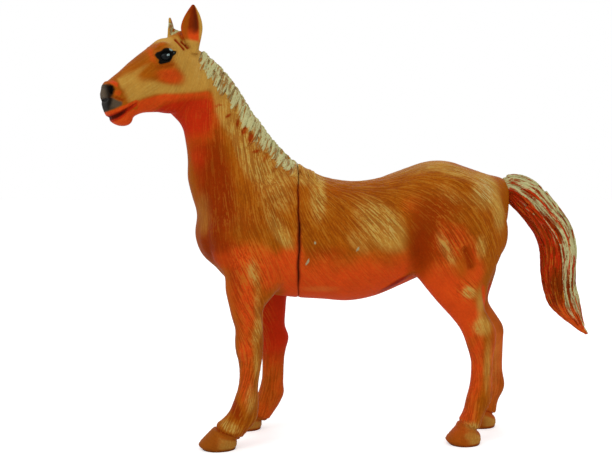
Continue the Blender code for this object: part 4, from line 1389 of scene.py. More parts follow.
@dataclass
class Horse:
    """The two body mouldings, sculpted as one and parted at the joint."""

    base_voxel: float = 0.45
    base_softening: int = 28
    voxel: float = 0.25
    quick_voxel: float = 0.38
    mane: Mane = field(default_factory=Mane)
    coat: Coat = field(default_factory=Coat)
    ears: tuple[Ear, ...] = (
        Ear(3.7, 4.2, 0.0, math.radians(-100)),
        Ear(7.4, -4.2, -3.1, math.radians(150)),
    )
    most_triangles: int = 194_000
    seam_gap: float = 0.16
    seam_wave: float = 0.16
    # Creases and ridges on both sides, in the side view
    side_cuts: tuple[Cut, ...] = (
        Cut(((53.9, 51.2), (54.8, 46.0), (56.5, 42.0)), 0.8, 0.55, Paint.RED),
        Cut(((51.0, 38.5), (52.6, 36.0)), 0.6, 0.25),
        Cut(((-25.0, 55.0), (-21.5, 58.8), (-17.8, 60.4), (-14.8, 58.6), (-13.6, 55.0)), 1.3, 0.35),
        Cut(((47.4, 63.0), (49.2, 58.5), (50.2, 55.0)), 1.5, 0.40, Paint.BROWN),
        Cut(((31.0, 53.5), (33.6, 60.0), (34.6, 68.0)), 2.2, 0.40),
        Cut(((-13.8, 47.6), (-9.0, 50.4), (-3.8, 48.4)), 0.8, 0.15),
        Cut(((22.4, 49.0), (26.9, 50.6), (29.7, 52.2), (32.8, 54.8)), 0.8, -0.35),
        Cut(((-31.8, 78.0), (-31.0, 70.0), (-29.0, 60.0)), 1.2, 0.25),
    )
    # The same on the head: forward and height
    head_cuts: tuple[Cut, ...] = (
        Cut(((29.8, 101.0), (28.0, 101.2), (26.0, 102.3), (23.5, 103.9), (21.2, 105.5)), 0.50, 0.85),
        Cut(((28.6, 102.9), (26.0, 103.6), (23.2, 105.4)), 0.7, -0.28),
        Cut(((9.0, 126.0), (8.0, 124.7), (7.2, 123.4), (6.1, 121.8)), 0.58, 0.42, Paint.BROWN, 0.22),
        Cut(((7.0, 125.4), (6.0, 124.2), (4.8, 122.5)), 0.50, 0.38, Paint.BROWN, 0.22),
        Cut(((17.5, 117.6), (14.8, 116.9), (11.6, 117.2), (9.4, 119.2)), 0.6, 0.28),
        Cut(((19.5, 112.8), (14.5, 114.6), (10.5, 115.4)), 0.9, -0.22),
        Cut(((-0.6, 120.5), (-2.0, 115.0), (-1.4, 109.5), (1.2, 106.4)), 1.1, 0.45),
        Cut(((27.0, 111.6), (26.3, 109.0), (27.0, 107.0)), 0.7, -0.25),
        Cut(((32.5, 106.6), (31.0, 106.3), (29.6, 106.4)), 0.55, 0.45),
        Cut(((30.4, 110.2), (30.2, 108.6), (30.0, 107.2)), 0.35, 0.22),
    )

    def block(self) -> bpy.types.Mesh:
        """The bare body: lofts and muscles melted into one skin."""
        clay = Clay()
        for rows in (TORSO, NECK, NEAR_FORE, FAR_FORE, NEAR_HIND, FAR_HIND):
            clay.body(rows)
        clay.body(HEAD, place=head_point)
        for x, y, z, *halves, tilt in MUSCLES:
            for side in Side:
                clay.ball((x, side.value * y, z), halves, tilt)
        clay.ball(SHEATH[:3], SHEATH[3:6], SHEATH[6])
        for forward, outward, height, *halves, tilt in HEAD_SWELLINGS:
            for side in Side:
                clay.ball(head_point(forward, -outward * side.value, height), halves, tilt, HEAD_TURN)
        return clay.melt(self.base_voxel, self.base_softening)

    def skin(
        self, paint: bpy.types.Material, luck: np.random.Generator
    ) -> tuple[Sculpture, list[np.ndarray]]:
        """The full skin with hooves, ears, mane and forelock.

        Args:
            paint: The material set on the strands.
            luck: The seeded random source.

        Returns:
            The skin, and the mane's strand lines.
        """
        block = self.block()
        corners, faces = [v.co for v in block.vertices], [p.vertices for p in block.polygons]
        base = BVHTree.FromPolygons(corners, faces)
        clay = Clay()
        clay.add(block)
        for toe_x, middle_y, share in HOOVES:
            shift = np.array([toe_x, 0, toe_x, 0, middle_y, 0, 0])
            scale = np.array([share, 1, share, 1, 1, 1, 1])
            clay.body([tuple(np.array(row) * scale + shift) for row in HOOF_WALL], steps=2)
        for ear in self.ears:
            ear.add_to(clay)
        lines = self.mane.lines(base, luck)
        clay.add(self.mane.sweep.sweep(lines, paint))
        clay.add(self.mane.tuft_sweep.sweep(self.mane.forelock(), paint))
        voxel = self.voxel
        return Sculpture(clay.melt(voxel, 1)), lines

    def carve(self, skin: Sculpture) -> None:
        """Carves the creases, the face, the hooves' coronets and the joint's groove."""
        body = skin.sideways()
        for cut in self.side_cuts:
            skin.push(cut.bite(skin.points[:, 0], skin.points[:, 2]) * body * cut.depth)
        self.carve_face(skin)
        self.carve_hooves(skin)
        for ear in self.ears:
            ear.carve(skin)
        skin.settle()
        gap = np.abs(skin.points[:, 0] - JOINT_X)
        height = skin.points[:, 2]
        lower = smooth_step(76.0, 66.0, height) * smooth_step(46.0, 54.0, height)
        groove = np.exp(-((gap / (0.42 + 0.20 * lower)) ** 2)) * (height > 40)
        skin.push(groove * (0.24 + 0.46 * lower))
        # Painted shade in the joint's groove: brown and black along it, darker low down, and red beside it in
        # the lower half
        skin.cover(Paint.BROWN, groove)
        skin.cover(Paint.BLACK, groove * (0.35 + 0.35 * lower))
        skin.cover(Paint.RED, np.exp(-((gap / 1.3) ** 2)) * lower * 0.45)

    def carve_face(self, skin: Sculpture) -> None:
        """Carves the eyes, nostrils, mouth and wrinkles."""
        spot = head_frame(skin.points)
        turned = head_frame(skin.normals + np.array([*HEAD_PIVOT, 0.0]))
        forward, outward, height = spot.T
        on_head = (forward > -4) & (height > 98) & (np.abs(outward) < HEAD_REACH)
        for side in (-1, 1):
            sideways = turned[:, 1] * side
            facing = smooth_step(0.0, 0.45, sideways) * on_head
            tip = smooth_step(27.5, 29.5, forward) * smooth_step(-0.3, 0.1, sideways) * on_head
            facing = np.maximum(facing, tip)
            for cut in self.head_cuts:
                skin.push(cut.bite(forward, height) * facing * cut.depth)
            self.carve_eye(skin, forward, height, facing)
            slot = NOSTRIL.depth(forward, height)
            skin.push(smooth_step(-0.25, 0.45, slot) * facing * 1.1)
            skin.push(-np.exp(-(((slot + 0.75) / 0.55) ** 2)) * facing * 0.30)

    def carve_eye(
        self, skin: Sculpture, forward: np.ndarray, height: np.ndarray, facing: np.ndarray
    ) -> None:
        """Sinks the eye's socket and raises its lids.

        Args:
            skin: The skin.
            forward: Head coordinates of its points.
            height: Their heights.
            facing: How far each point faces this side.
        """
        ring = np.hypot((forward - EYE_SPOT[0]) / EYE_HALVES[0], (height - EYE_SPOT[1]) / EYE_HALVES[2])
        lid = EYE_LINER.depth(forward, height)
        socket = smooth_step(1.15, 0.80, ring) * facing
        skin.push(socket * 0.75)
        skin.push(-np.exp(-(((lid - 0.35) / 0.45) ** 2)) * facing * (1 - socket) * 0.34)
        fold = np.exp(-(((lid + 0.75) / 0.30) ** 2)) * facing
        skin.push(fold * smooth_step(119.5, 121.0, height) * 0.22)

    def carve_hooves(self, skin: Sculpture) -> None:
        """Cuts each coronet's groove, flattens the soles and paints the walls."""
        x, y, z = skin.points.T
        depth = np.zeros(len(x))
        for toe_x, middle_y, _ in HOOVES:
            near = (np.abs(y - middle_y) < 7.5) & (x > toe_x - 2) & (x < toe_x + 14) & (z < 12)
            coronet = z - (CORONET_HEIGHT - CORONET_SLOPE * (x - toe_x - CORONET_TOE))
            depth += near * np.exp(-((coronet / 0.45) ** 2)) * 0.42
            share = 0.6 if toe_x > 0 else 0.85
            wall = near * smooth_step(0.15, -0.15, coronet)
            skin.cover(Paint.HOOF, wall * share)
            skin.cover(Paint.RED, wall * (1 - share))
            # Painted shade in the coronet's groove
            skin.cover(Paint.BROWN, near * np.exp(-((coronet / 0.5) ** 2)) * 0.8)
            rings = smooth_step(0.2, 1.0, np.sin(coronet * RING_TURN)) * smooth_step(-0.6, -1.2, coronet)
            depth += near * rings * 0.07
            heel = smooth_step(4.0, 8.5, x - toe_x) * smooth_step(-0.8, -2.0, coronet)
            heel *= smooth_step(0.3, 1.2, z)
            skin.cover(Paint.OCHRE, near * heel * 0.75)
            skin.wipe((Paint.HOOF,), near * heel * 0.5)
            # Painted shade: black along the bottom edge of the hoof, by the floor
            skin.cover(Paint.BLACK, near * smooth_step(0.9, 0.2, z) * 0.45)
        skin.push(depth)
        skin.points[:, 2] = np.maximum(skin.points[:, 2], 0.0)

    def comb_coat(self, skin: Sculpture) -> None:
        """Notes how strongly the coat is combed at each point, and which way."""
        x, _, z = skin.points.T
        cover = layered(COMBED, x, z) * (1 - SMOOTH_HOLLOW.cover(x, z))
        head = smooth_step(-1.5, 2.5, head_frame(skin.points)[:, 0]) * (z > 100)
        cover = cover * (1 - head) + 0.22 * head * (z < 124.5)
        cover *= 1 - np.maximum(skin.masks[Paint.HOOF.value] * 0.6, skin.masks[Paint.BLACK.value])
        skin.masks["comb"] = np.clip(cover, 0, 1)
        skin.flow = self.coat.flow(skin.points, skin.normals)

    def paint_body(self, skin: Sculpture) -> None:
        """Airbrushes the body, with painted shade in its creases, hollows and underneath, and a painted
        highlight low on the belly.
        """
        x, y, z = skin.points.T
        head = smooth_step(-2.5, 0.5, head_frame(skin.points)[:, 0]) * smooth_step(100.0, 104.0, z)
        for paint, coats in SIDE_SPRAYS.items():
            skin.cover(paint, layered(coats, x, z) * (1 - head))
        # The lower belly is sprayed red: partly the belly's paint, partly painted shade on the underside
        belly_line = z - 0.05 * (x - 14)
        belly = smooth_step(69.0, 48.5, belly_line) * smooth_step(-12, -4, x) * smooth_step(42, 32, x)
        skin.cover(Paint.RED, belly * (z > 30))
        skin.wipe((Paint.OCHRE,), smooth_step(0.3, 0.75, belly) * (z > 30) * 0.9)
        # Painted highlight: a paler ochre strip low on the belly, lit from the floor
        skin.cover(Paint.OCHRE, layered((BELLY_PAINTED_HIGHLIGHT,), x, z) * (z > 30))
        # Painted shade: brown in the hollow ahead of the thigh
        skin.lay(Paint.BROWN, SMOOTH_HOLLOW.cover(x, z))
        # Painted shade: crimson on the inward faces of the legs and belly low down, and red lower on the legs
        inner = smooth_step(0.15, -0.35, skin.normals[:, 1] * np.sign(y)) * smooth_step(52.0, 46.0, z)
        inner *= 1 - 0.9 * smooth_step(30.0, 34.0, x) * smooth_step(50.0, 42.0, z)
        skin.cover(Paint.CRIMSON, inner * smooth_step(14.0, 34.0, z) * 0.95)
        skin.cover(Paint.RED, inner * smooth_step(34.0, 18.0, z) * 0.5)
        sheath = Spray(27.6, 50.7, 6.0, 0.85, 31).cover(x, z)
        skin.lay(Paint.CRIMSON, sheath)
        skin.cover(Paint.BLACK, sheath * 0.5)
        facing = skin.sideways()
        for cut in self.side_cuts:
            skin.draw(cut, x, z, facing * 0.8)

    def paint_head(self, skin: Sculpture) -> None:
        """Airbrushes the head, with painted shade under the jaw, below the eye and in the mouth's crease, and
        a painted sheen on the eyelids.
        """
        forward, outward, height = head_frame(skin.points).T
        inner = np.abs(outward) < HEAD_REACH
        head = smooth_step(-3.5, 0.0, forward) * smooth_step(98.0, 100.0, height) * inner
        for paint, coats in HEAD_SPRAYS.items():
            skin.cover(paint, layered(coats, forward, height) * head)
        skin.wipe((Paint.OCHRE,), layered(HEAD_SPRAYS[Paint.RED][:1], forward, height) * head)
        # Painted shade under the jaw and throat, laid as red and crimson
        throat = smooth_step(-3.5, 0.0, forward) * smooth_step(91.0, 102.0, height) * inner
        for paint, line, soft in ((Paint.RED, JAW_LINE, 1.3), (Paint.CRIMSON, THROAT_LINE, 2.2)):
            places, heights = np.array(line).T
            under = smooth_step(soft, -soft, height - np.interp(forward, places, heights))
            skin.lay(paint, under * throat * smooth_step(places[-1], places[-1] - 2.0, forward))
        for paint, patch in HEAD_PATCHES:
            skin.lay(paint, patch.cover(forward, height) * head)
        for cut in self.head_cuts:
            skin.draw(cut, forward, height, head)
        for shade in HEAD_SHADES:
            skin.cover(Paint.BLACK, shade.cover(forward, height) * head)
        # Painted sheen on the upper lid and at the eye's outer corner
        for lid_highlight in LID_PAINTED_SHEEN:
            skin.cover(Paint.SHEEN, lid_highlight.cover(forward, height) * head)

    def dress_mane(self, skin: Sculpture, lines: list[np.ndarray], luck: np.random.Generator) -> None:
        """Cuts the grooves between strands and paints the hair cream, ochre towards tips and withers.

        Args:
            skin: The skin.
            lines: The strand lines.
            luck: The seeded random source.
        """
        x, _, z = skin.points.T
        rows = np.array(smoothed(CREST, 6))
        reach = line_distance(x, z, [tuple(row) for row in rows[:, [0, 2]]])[0]
        near = np.flatnonzero((reach < 12) & (z > 76) & (x < 9))
        hairs = StrandMap(lines).measure(skin.points[near], skin.normals[near])
        hair = smooth_step(0.92, 0.66, hairs.gap) * smooth_step(1.01, 0.94, hairs.along + 0.2 * hairs.gap)
        groove = hair * smooth_step(0.38, 0.60, hairs.sideways) * smooth_step(0.0, 0.12, hairs.along)
        lengthwise = smooth_step(1.05, 0.70, hairs.along)
        skin.points[near] -= skin.normals[near] * (groove * lengthwise * self.mane.groove_depth)[:, None]
        for paint in (Paint.OCHRE, Paint.BROWN, Paint.RED, Paint.CRIMSON):
            skin.masks[paint.value][near] *= 1 - hair
        skin.masks["groove"][near] = np.maximum(skin.masks["groove"][near], groove * lengthwise)
        skin.masks["comb"][near] = np.maximum(skin.masks["comb"][near], hair * 0.9)
        skin.flow[near] += (hairs.way - skin.flow[near]) * hair[:, None]
        edge = self.mane.cream_edge
        gap = line_distance(x[near], z[near], edge)[0]
        corners = np.array(edge)
        level = np.interp(x[near], corners[:, 0], corners[:, 1])
        over = np.where(z[near] > level, gap, -gap) + luck.uniform(-2.0, 2.0, len(lines))[hairs.owner]
        cream = hair * smooth_step(-3.6, 2.2, over) * smooth_step(-2.2, -3.2, x[near])
        creams, ochres = skin.masks[Paint.CREAM.value], skin.masks[Paint.OCHRE.value]
        creams[near] = np.maximum(creams[near] * (1 - hair), cream)
        ochres[near] += hair * 0.85 * (1 - ochres[near])
        gaps = layered(LOCK_GAPS, x, z) * (reach < 12)
        skin.wipe((Paint.CREAM, Paint.OCHRE), gaps)
        skin.cover(Paint.RED, gaps * 0.35)
        skin.cover(Paint.BROWN, gaps)

    def paint_forelock(self, skin: Sculpture) -> None:
        """Paints the forelock cream, with fine lines along it."""
        x, _, z = skin.points.T
        near = np.flatnonzero((z > 124) & (x < -34) & (x > -48))
        hairs = StrandMap(self.mane.forelock()).measure(skin.points[near], skin.normals[near])
        tuft = smooth_step(1.20, 0.90, hairs.gap)
        for mask in skin.masks.values():
            mask[near] *= 1 - tuft
        skin.masks["comb"][near] = np.maximum(skin.masks["comb"][near], tuft)
        skin.flow[near] += (hairs.way - skin.flow[near]) * tuft[:, None]
        skin.masks[Paint.CREAM.value][near] += tuft

    def part(self, skin: Sculpture, keep: Side, name: str, paint: bpy.types.Material) -> bpy.types.Object:
        """Cuts one moulding from the skin at the joint and closes it.

        Args:
            skin: The full skin.
            keep: NEAR for the part ahead of the joint, FAR for the part behind it.
            name: The piece's name.
            paint: Its material.

        Returns:
            The piece, placed in the figure's frame.
        """
        form = bmesh.new()
        form.from_mesh(skin.mesh)
        plane = Vector((JOINT_X + keep.value * self.seam_gap / 2, 0, 0))
        bmesh.ops.bisect_plane(
            form,
            geom=form.verts[:] + form.edges[:] + form.faces[:],
            plane_co=plane,
            plane_no=Vector((-keep.value, 0, 0)),
            clear_outer=True,
        )
        rim = [edge for edge in form.edges if edge.is_boundary]
        bmesh.ops.holes_fill(form, edges=rim, sides=0)
        bmesh.ops.triangulate(form, faces=form.faces[:])

        def waved(points: np.ndarray) -> np.ndarray:
            """Bends the joint's faces a little, as moulded edges wander."""
            near = np.maximum(0.0, 1 - np.abs(points[:, 0] - JOINT_X) / 2.5)
            wave = np.sin(points[:, 2] * 0.31) + 0.6 * np.sin(points[:, 2] * 0.83 + 1.0)
            return points + np.stack([self.seam_wave * wave * near, 0 * near, 0 * near], axis=1)

        return finish_piece(form, name, paint, self.most_triangles, waved)

    def build(self, finish: ToyPaint) -> list[bpy.types.Object]:
        """Sculpts, paints and parts the body.

        Args:
            finish: The paint.

        Returns:
            The front and rear pieces.
        """
        luck = np.random.default_rng(SEED)
        front_paint, rear_paint = finish.material("front_paint"), finish.material("rear_paint")
        skin, lines = self.skin(front_paint, luck)
        log.info("skin of %d points", len(skin.points))
        self.carve(skin)
        self.paint_body(skin)
        self.paint_head(skin)
        self.comb_coat(skin)
        self.dress_mane(skin, lines, luck)
        for ear in self.ears:
            ear.paint(skin)
        self.paint_forelock(skin)
        skin.settle()
        skin.ruffle(0.8, 3.6, 0.05, luck)
        skin.store()
        pieces = [
            self.part(skin, Side.NEAR, "front_moulding", front_paint),
            self.part(skin, Side.FAR, "rear_moulding", rear_paint),
        ]
        for piece, node, slot in zip(pieces, ("front_body", "rear_body"), ("front_paint", "rear_paint")):
            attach(piece, "root")
            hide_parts(node)
            log.info("%s: %d triangles", piece.name, len(piece.data.polygons))
        return pieces


def finish_piece(
    form: bmesh.types.BMesh,
    name: str,
    paint: bpy.types.Material,
    most: int,
    bend: Callable[[np.ndarray], np.ndarray] | None = None,
) -> bpy.types.Object:
    """Turns a form in millimetres into a finished piece in the figure's frame.

    Args:
        form: The closed form, which is freed.
        name: The piece's name.
        paint: Its material.
        most: The most triangles that it may have.
        bend: Moves its points, in millimetres, before it is placed.

    Returns:
        The piece, linked and shaded smooth.
    """
    mesh = mesh_of(form, name)
    points = mesh_points(mesh)
    if bend:
        points = bend(points)
    set_points(mesh, np.clip((points - FLOOR_CENTRE) * MM, *CAD_BOX))
    piece = linked(name, mesh)
    if len(mesh.polygons) > most:
        thin = piece.modifiers.new("thin", "DECIMATE")
        thin.ratio = most / len(mesh.polygons)
        thinned = take_mesh(piece)
        thinned.name = name
        piece = linked(name, thinned)
    piece.data.materials.append(paint)
    piece.data.polygons.foreach_set("material_index", np.zeros(len(piece.data.polygons), np.int32))
    piece.data.shade_smooth()
    return piece


# The middle of each eye, forward and height, how far out it sits, and its half lengths
EYE_SPOT = (12.9, 119.7)
EYE_OUT = 5.55
EYE_HALVES = (1.75, 1.35, 1.45)
EYE_LINER = Patch(
    (
        (16.2, 120.0), (15.6, 120.8), (14.5, 121.2), (13.9, 121.9), (12.9, 122.2), (11.8, 122.0),
        (10.9, 121.5), (9.5, 121.5), (10.0, 120.5), (10.8, 120.0), (11.2, 119.0), (12.0, 118.0),
        (13.5, 117.5), (14.8, 117.2), (15.4, 117.7), (15.2, 118.5), (15.8, 119.1),
    ),
    0.22,
)
NOSTRIL = Patch(
    (
        (29.7, 109.9), (29.1, 110.7), (28.4, 110.3), (28.0, 109.2), (28.4, 108.0), (29.2, 107.8),
        (29.6, 108.7),
    ),
    0.3,
)
# Where the red of the jaw and the crimson of the throat begin, forward and height; below these lines the paint
# is partly painted shade on the head's underside
JAW_LINE: Outline = (
    (-4.0, 110.6), (-0.9, 110.2), (4.1, 109.4), (8.0, 108.9), (12.8, 108.7), (16.9, 107.6),
    (20.0, 106.6), (22.0, 105.0),
)
THROAT_LINE: Outline = ((-4.0, 108.6), (3.7, 107.9), (7.6, 107.2), (12.4, 106.0), (16.0, 103.0))
# Outlined paint on the head, each over the ones before: forward and height
HEAD_PATCHES: tuple[tuple[Paint, Patch], ...] = (
    (Paint.OCHRE, Patch(((26.8, 112.6), (24.4, 113.4), (24.1, 109.9), (26.3, 109.7)), 0.8, 0.75)),
    (Paint.OCHRE, Patch((
        (24.3, 110.6), (20.8, 111.2), (19.6, 108.8), (20.9, 106.6), (23.7, 105.9),
    ), 1.0, 0.75)),
    (Paint.RED, Patch((
        (17.5, 121.4), (16.6, 122.6), (15.7, 121.8), (16.3, 120.0), (15.9, 118.6), (15.2, 117.2),
        (16.2, 116.8), (17.3, 118.4), (17.7, 119.8),
    ), 0.8, 0.50)),
    # Painted shade: brown under the eye, along its lower crease
    (Paint.BROWN, Patch((
        (16.2, 117.2), (15.2, 116.8), (12.6, 117.2), (10.6, 118.0), (9.8, 117.4), (12.4, 116.0),
        (16.0, 115.8),
    ), 0.8, 0.55)),
    (Paint.RED, Patch((
        (29.8, 111.2), (28.1, 112.2), (27.0, 111.2), (27.4, 109.6), (28.6, 110.6),
    ), 0.5, 0.85)),
    (Paint.RED, Patch((
        (28.2, 109.0), (26.8, 109.4), (25.8, 108.4), (26.8, 107.0), (28.6, 106.8),
    ), 0.6, 0.6)),
    (Paint.BROWN, Patch((
        (28.8, 107.5), (26.7, 107.1), (25.2, 106.6), (25.5, 105.7), (29.1, 106.2),
    ), 0.6, 0.75)),
    (Paint.GREY, Patch((
        (32.5, 109.8), (30.8, 111.0), (29.9, 110.8), (29.6, 107.5), (30.6, 105.4), (32.5, 105.4),
    ), 0.5)),
    (Paint.GREY, Patch((
        (32.0, 107.0), (28.9, 106.8), (27.1, 106.0), (25.7, 105.7), (26.0, 104.8), (28.4, 103.5),
        (30.5, 102.7), (32.0, 102.6),
    ), 0.7)),
    (Paint.RED, Patch((
        (32.0, 102.2), (28.5, 103.2), (26.1, 104.3), (23.6, 105.5), (21.7, 106.5), (20.6, 106.4),
        (20.8, 105.3), (23.6, 104.0), (26.1, 102.6), (28.2, 101.4), (32.0, 100.6),
    ), 0.4)),
    (Paint.RED, Patch((
        (29.6, 100.9), (27.2, 100.9), (24.7, 102.1), (22.2, 103.9), (20.4, 103.4), (21.6, 98.0),
        (29.6, 98.0),
    ), 0.5)),
    (Paint.CRIMSON, Patch((
        (30.6, 101.4), (28.3, 102.3), (26.0, 103.3), (23.5, 104.6), (21.0, 106.0), (21.0, 104.9),
        (23.5, 103.0), (25.7, 101.0), (27.8, 99.9), (30.4, 100.0),
    ), 0.4)),
)
# Darker paint over that: how much black. Along the mouth's carved crease it is painted shade.
HEAD_SHADES: tuple[Patch, ...] = (
    Patch((
        (30.4, 110.8), (29.3, 111.0), (28.6, 107.6), (28.9, 105.0), (29.6, 103.0), (30.8, 103.0),
        (30.2, 107.0),
    ), 0.6, 0.84),
    Patch((
        (29.4, 101.0), (28.4, 101.9), (26.0, 103.1), (24.2, 104.0), (24.4, 102.8), (26.8, 100.9),
        (28.6, 100.2),
    ), 0.5, 0.72),
    Patch(((24.6, 103.8), (22.6, 105.0), (21.0, 105.9), (22.4, 104.5), (24.4, 103.0)), 0.3, 0.4),
    Patch(((30.9, 103.6), (28.6, 104.2), (27.4, 103.9), (30.4, 102.6)), 0.5, 0.45),
    NOSTRIL,
    EYE_LINER,
)
# Painted sheen: pale highlights on the glossy upper lid and at the outer corner of the eye
LID_PAINTED_SHEEN: tuple[Patch, ...] = (
    Patch(((12.3, 122.0), (11.3, 121.9), (10.9, 121.5), (11.6, 121.3), (12.2, 121.5)), 0.18),
    Patch(((10.8, 120.9), (10.4, 120.9), (10.6, 120.6)), 0.12),
)

# The uncombed hollow ahead of the thigh, also painted brown there as painted shade
SMOOTH_HOLLOW = Spray(35.0, 62.0, 4.2, 11.5, 0, 0.80)
# A painted highlight: the paler ochre strip low on the belly behind the joint, where light bounces up from the
# floor
BELLY_PAINTED_HIGHLIGHT = Spray(4.0, 49.2, 8.0, 1.4, 0, 0.28)

# Dark red-brown places between locks of the mane
LOCK_GAPS = sprays(
    (-27.2, 105.8, 1.5, 0.35, 12, 0.8), (-24.4, 102.7, 1.3, 0.5, 35, 0.9),
    (-21.6, 100.4, 0.55, 1.7, -8, 0.9), (-19.6, 98.2, 0.8, 1.7, -25, 1.0),
    (-17.5, 95.8, 1.0, 2.0, -8, 1.0), (-15.9, 91.8, 1.5, 0.6, 15, 0.9),
    (-13.2, 89.4, 0.6, 1.5, -35, 0.6), (-10.2, 86.3, 0.6, 1.6, -35, 0.5),
)

# Where the coat is combed
COMBED = sprays(
    (-17.0, 92.0, 8.5, 20.0, 25, 1.0), (-30.0, 88.0, 7.0, 20.0, 0, 0.22),
    (-12.0, 74.0, 13.0, 14.0, 0, 1.0), (-26.0, 72.0, 8.0, 9.0, 0, 0.30),
    (0.0, 54.0, 30.0, 6.0, 0, 0.25), (4.0, 74.0, 8.0, 13.0, 0, 1.0), (17.0, 72.0, 19.0, 11.5, 0, 1.0),
    (24.0, 83.0, 28.0, 5.0, 0, 0.7), (46.0, 78.0, 14.0, 11.0, -15, 1.0),
    (42.5, 62.0, 6.0, 7.0, 0, 1.0), (54.5, 65.0, 5.5, 9.5, 0, 0.9), (48.5, 49.3, 4.0, 3.6, 0, 0.9),
    (54.0, 37.5, 3.5, 4.5, 0, 0.5), (-17.5, 54.5, 5.4, 9.0, 0, 0.95),
    (-17.0, 38.5, 5.4, 11.0, 0, 0.85), (-18.0, 20.0, 6.0, 12.0, 0, 0.85),
    (-22.5, 7.0, 8.0, 6.5, 0, 0.9), (53.0, 20.0, 7.0, 16.0, 0, 0.60), (50.0, 7.0, 7.0, 6.0, 0, 0.7),
    (-10.0, 14.0, 5.0, 10.0, 0, 0.5), (62.0, 14.0, 6.0, 12.0, 0, 0.45),
)

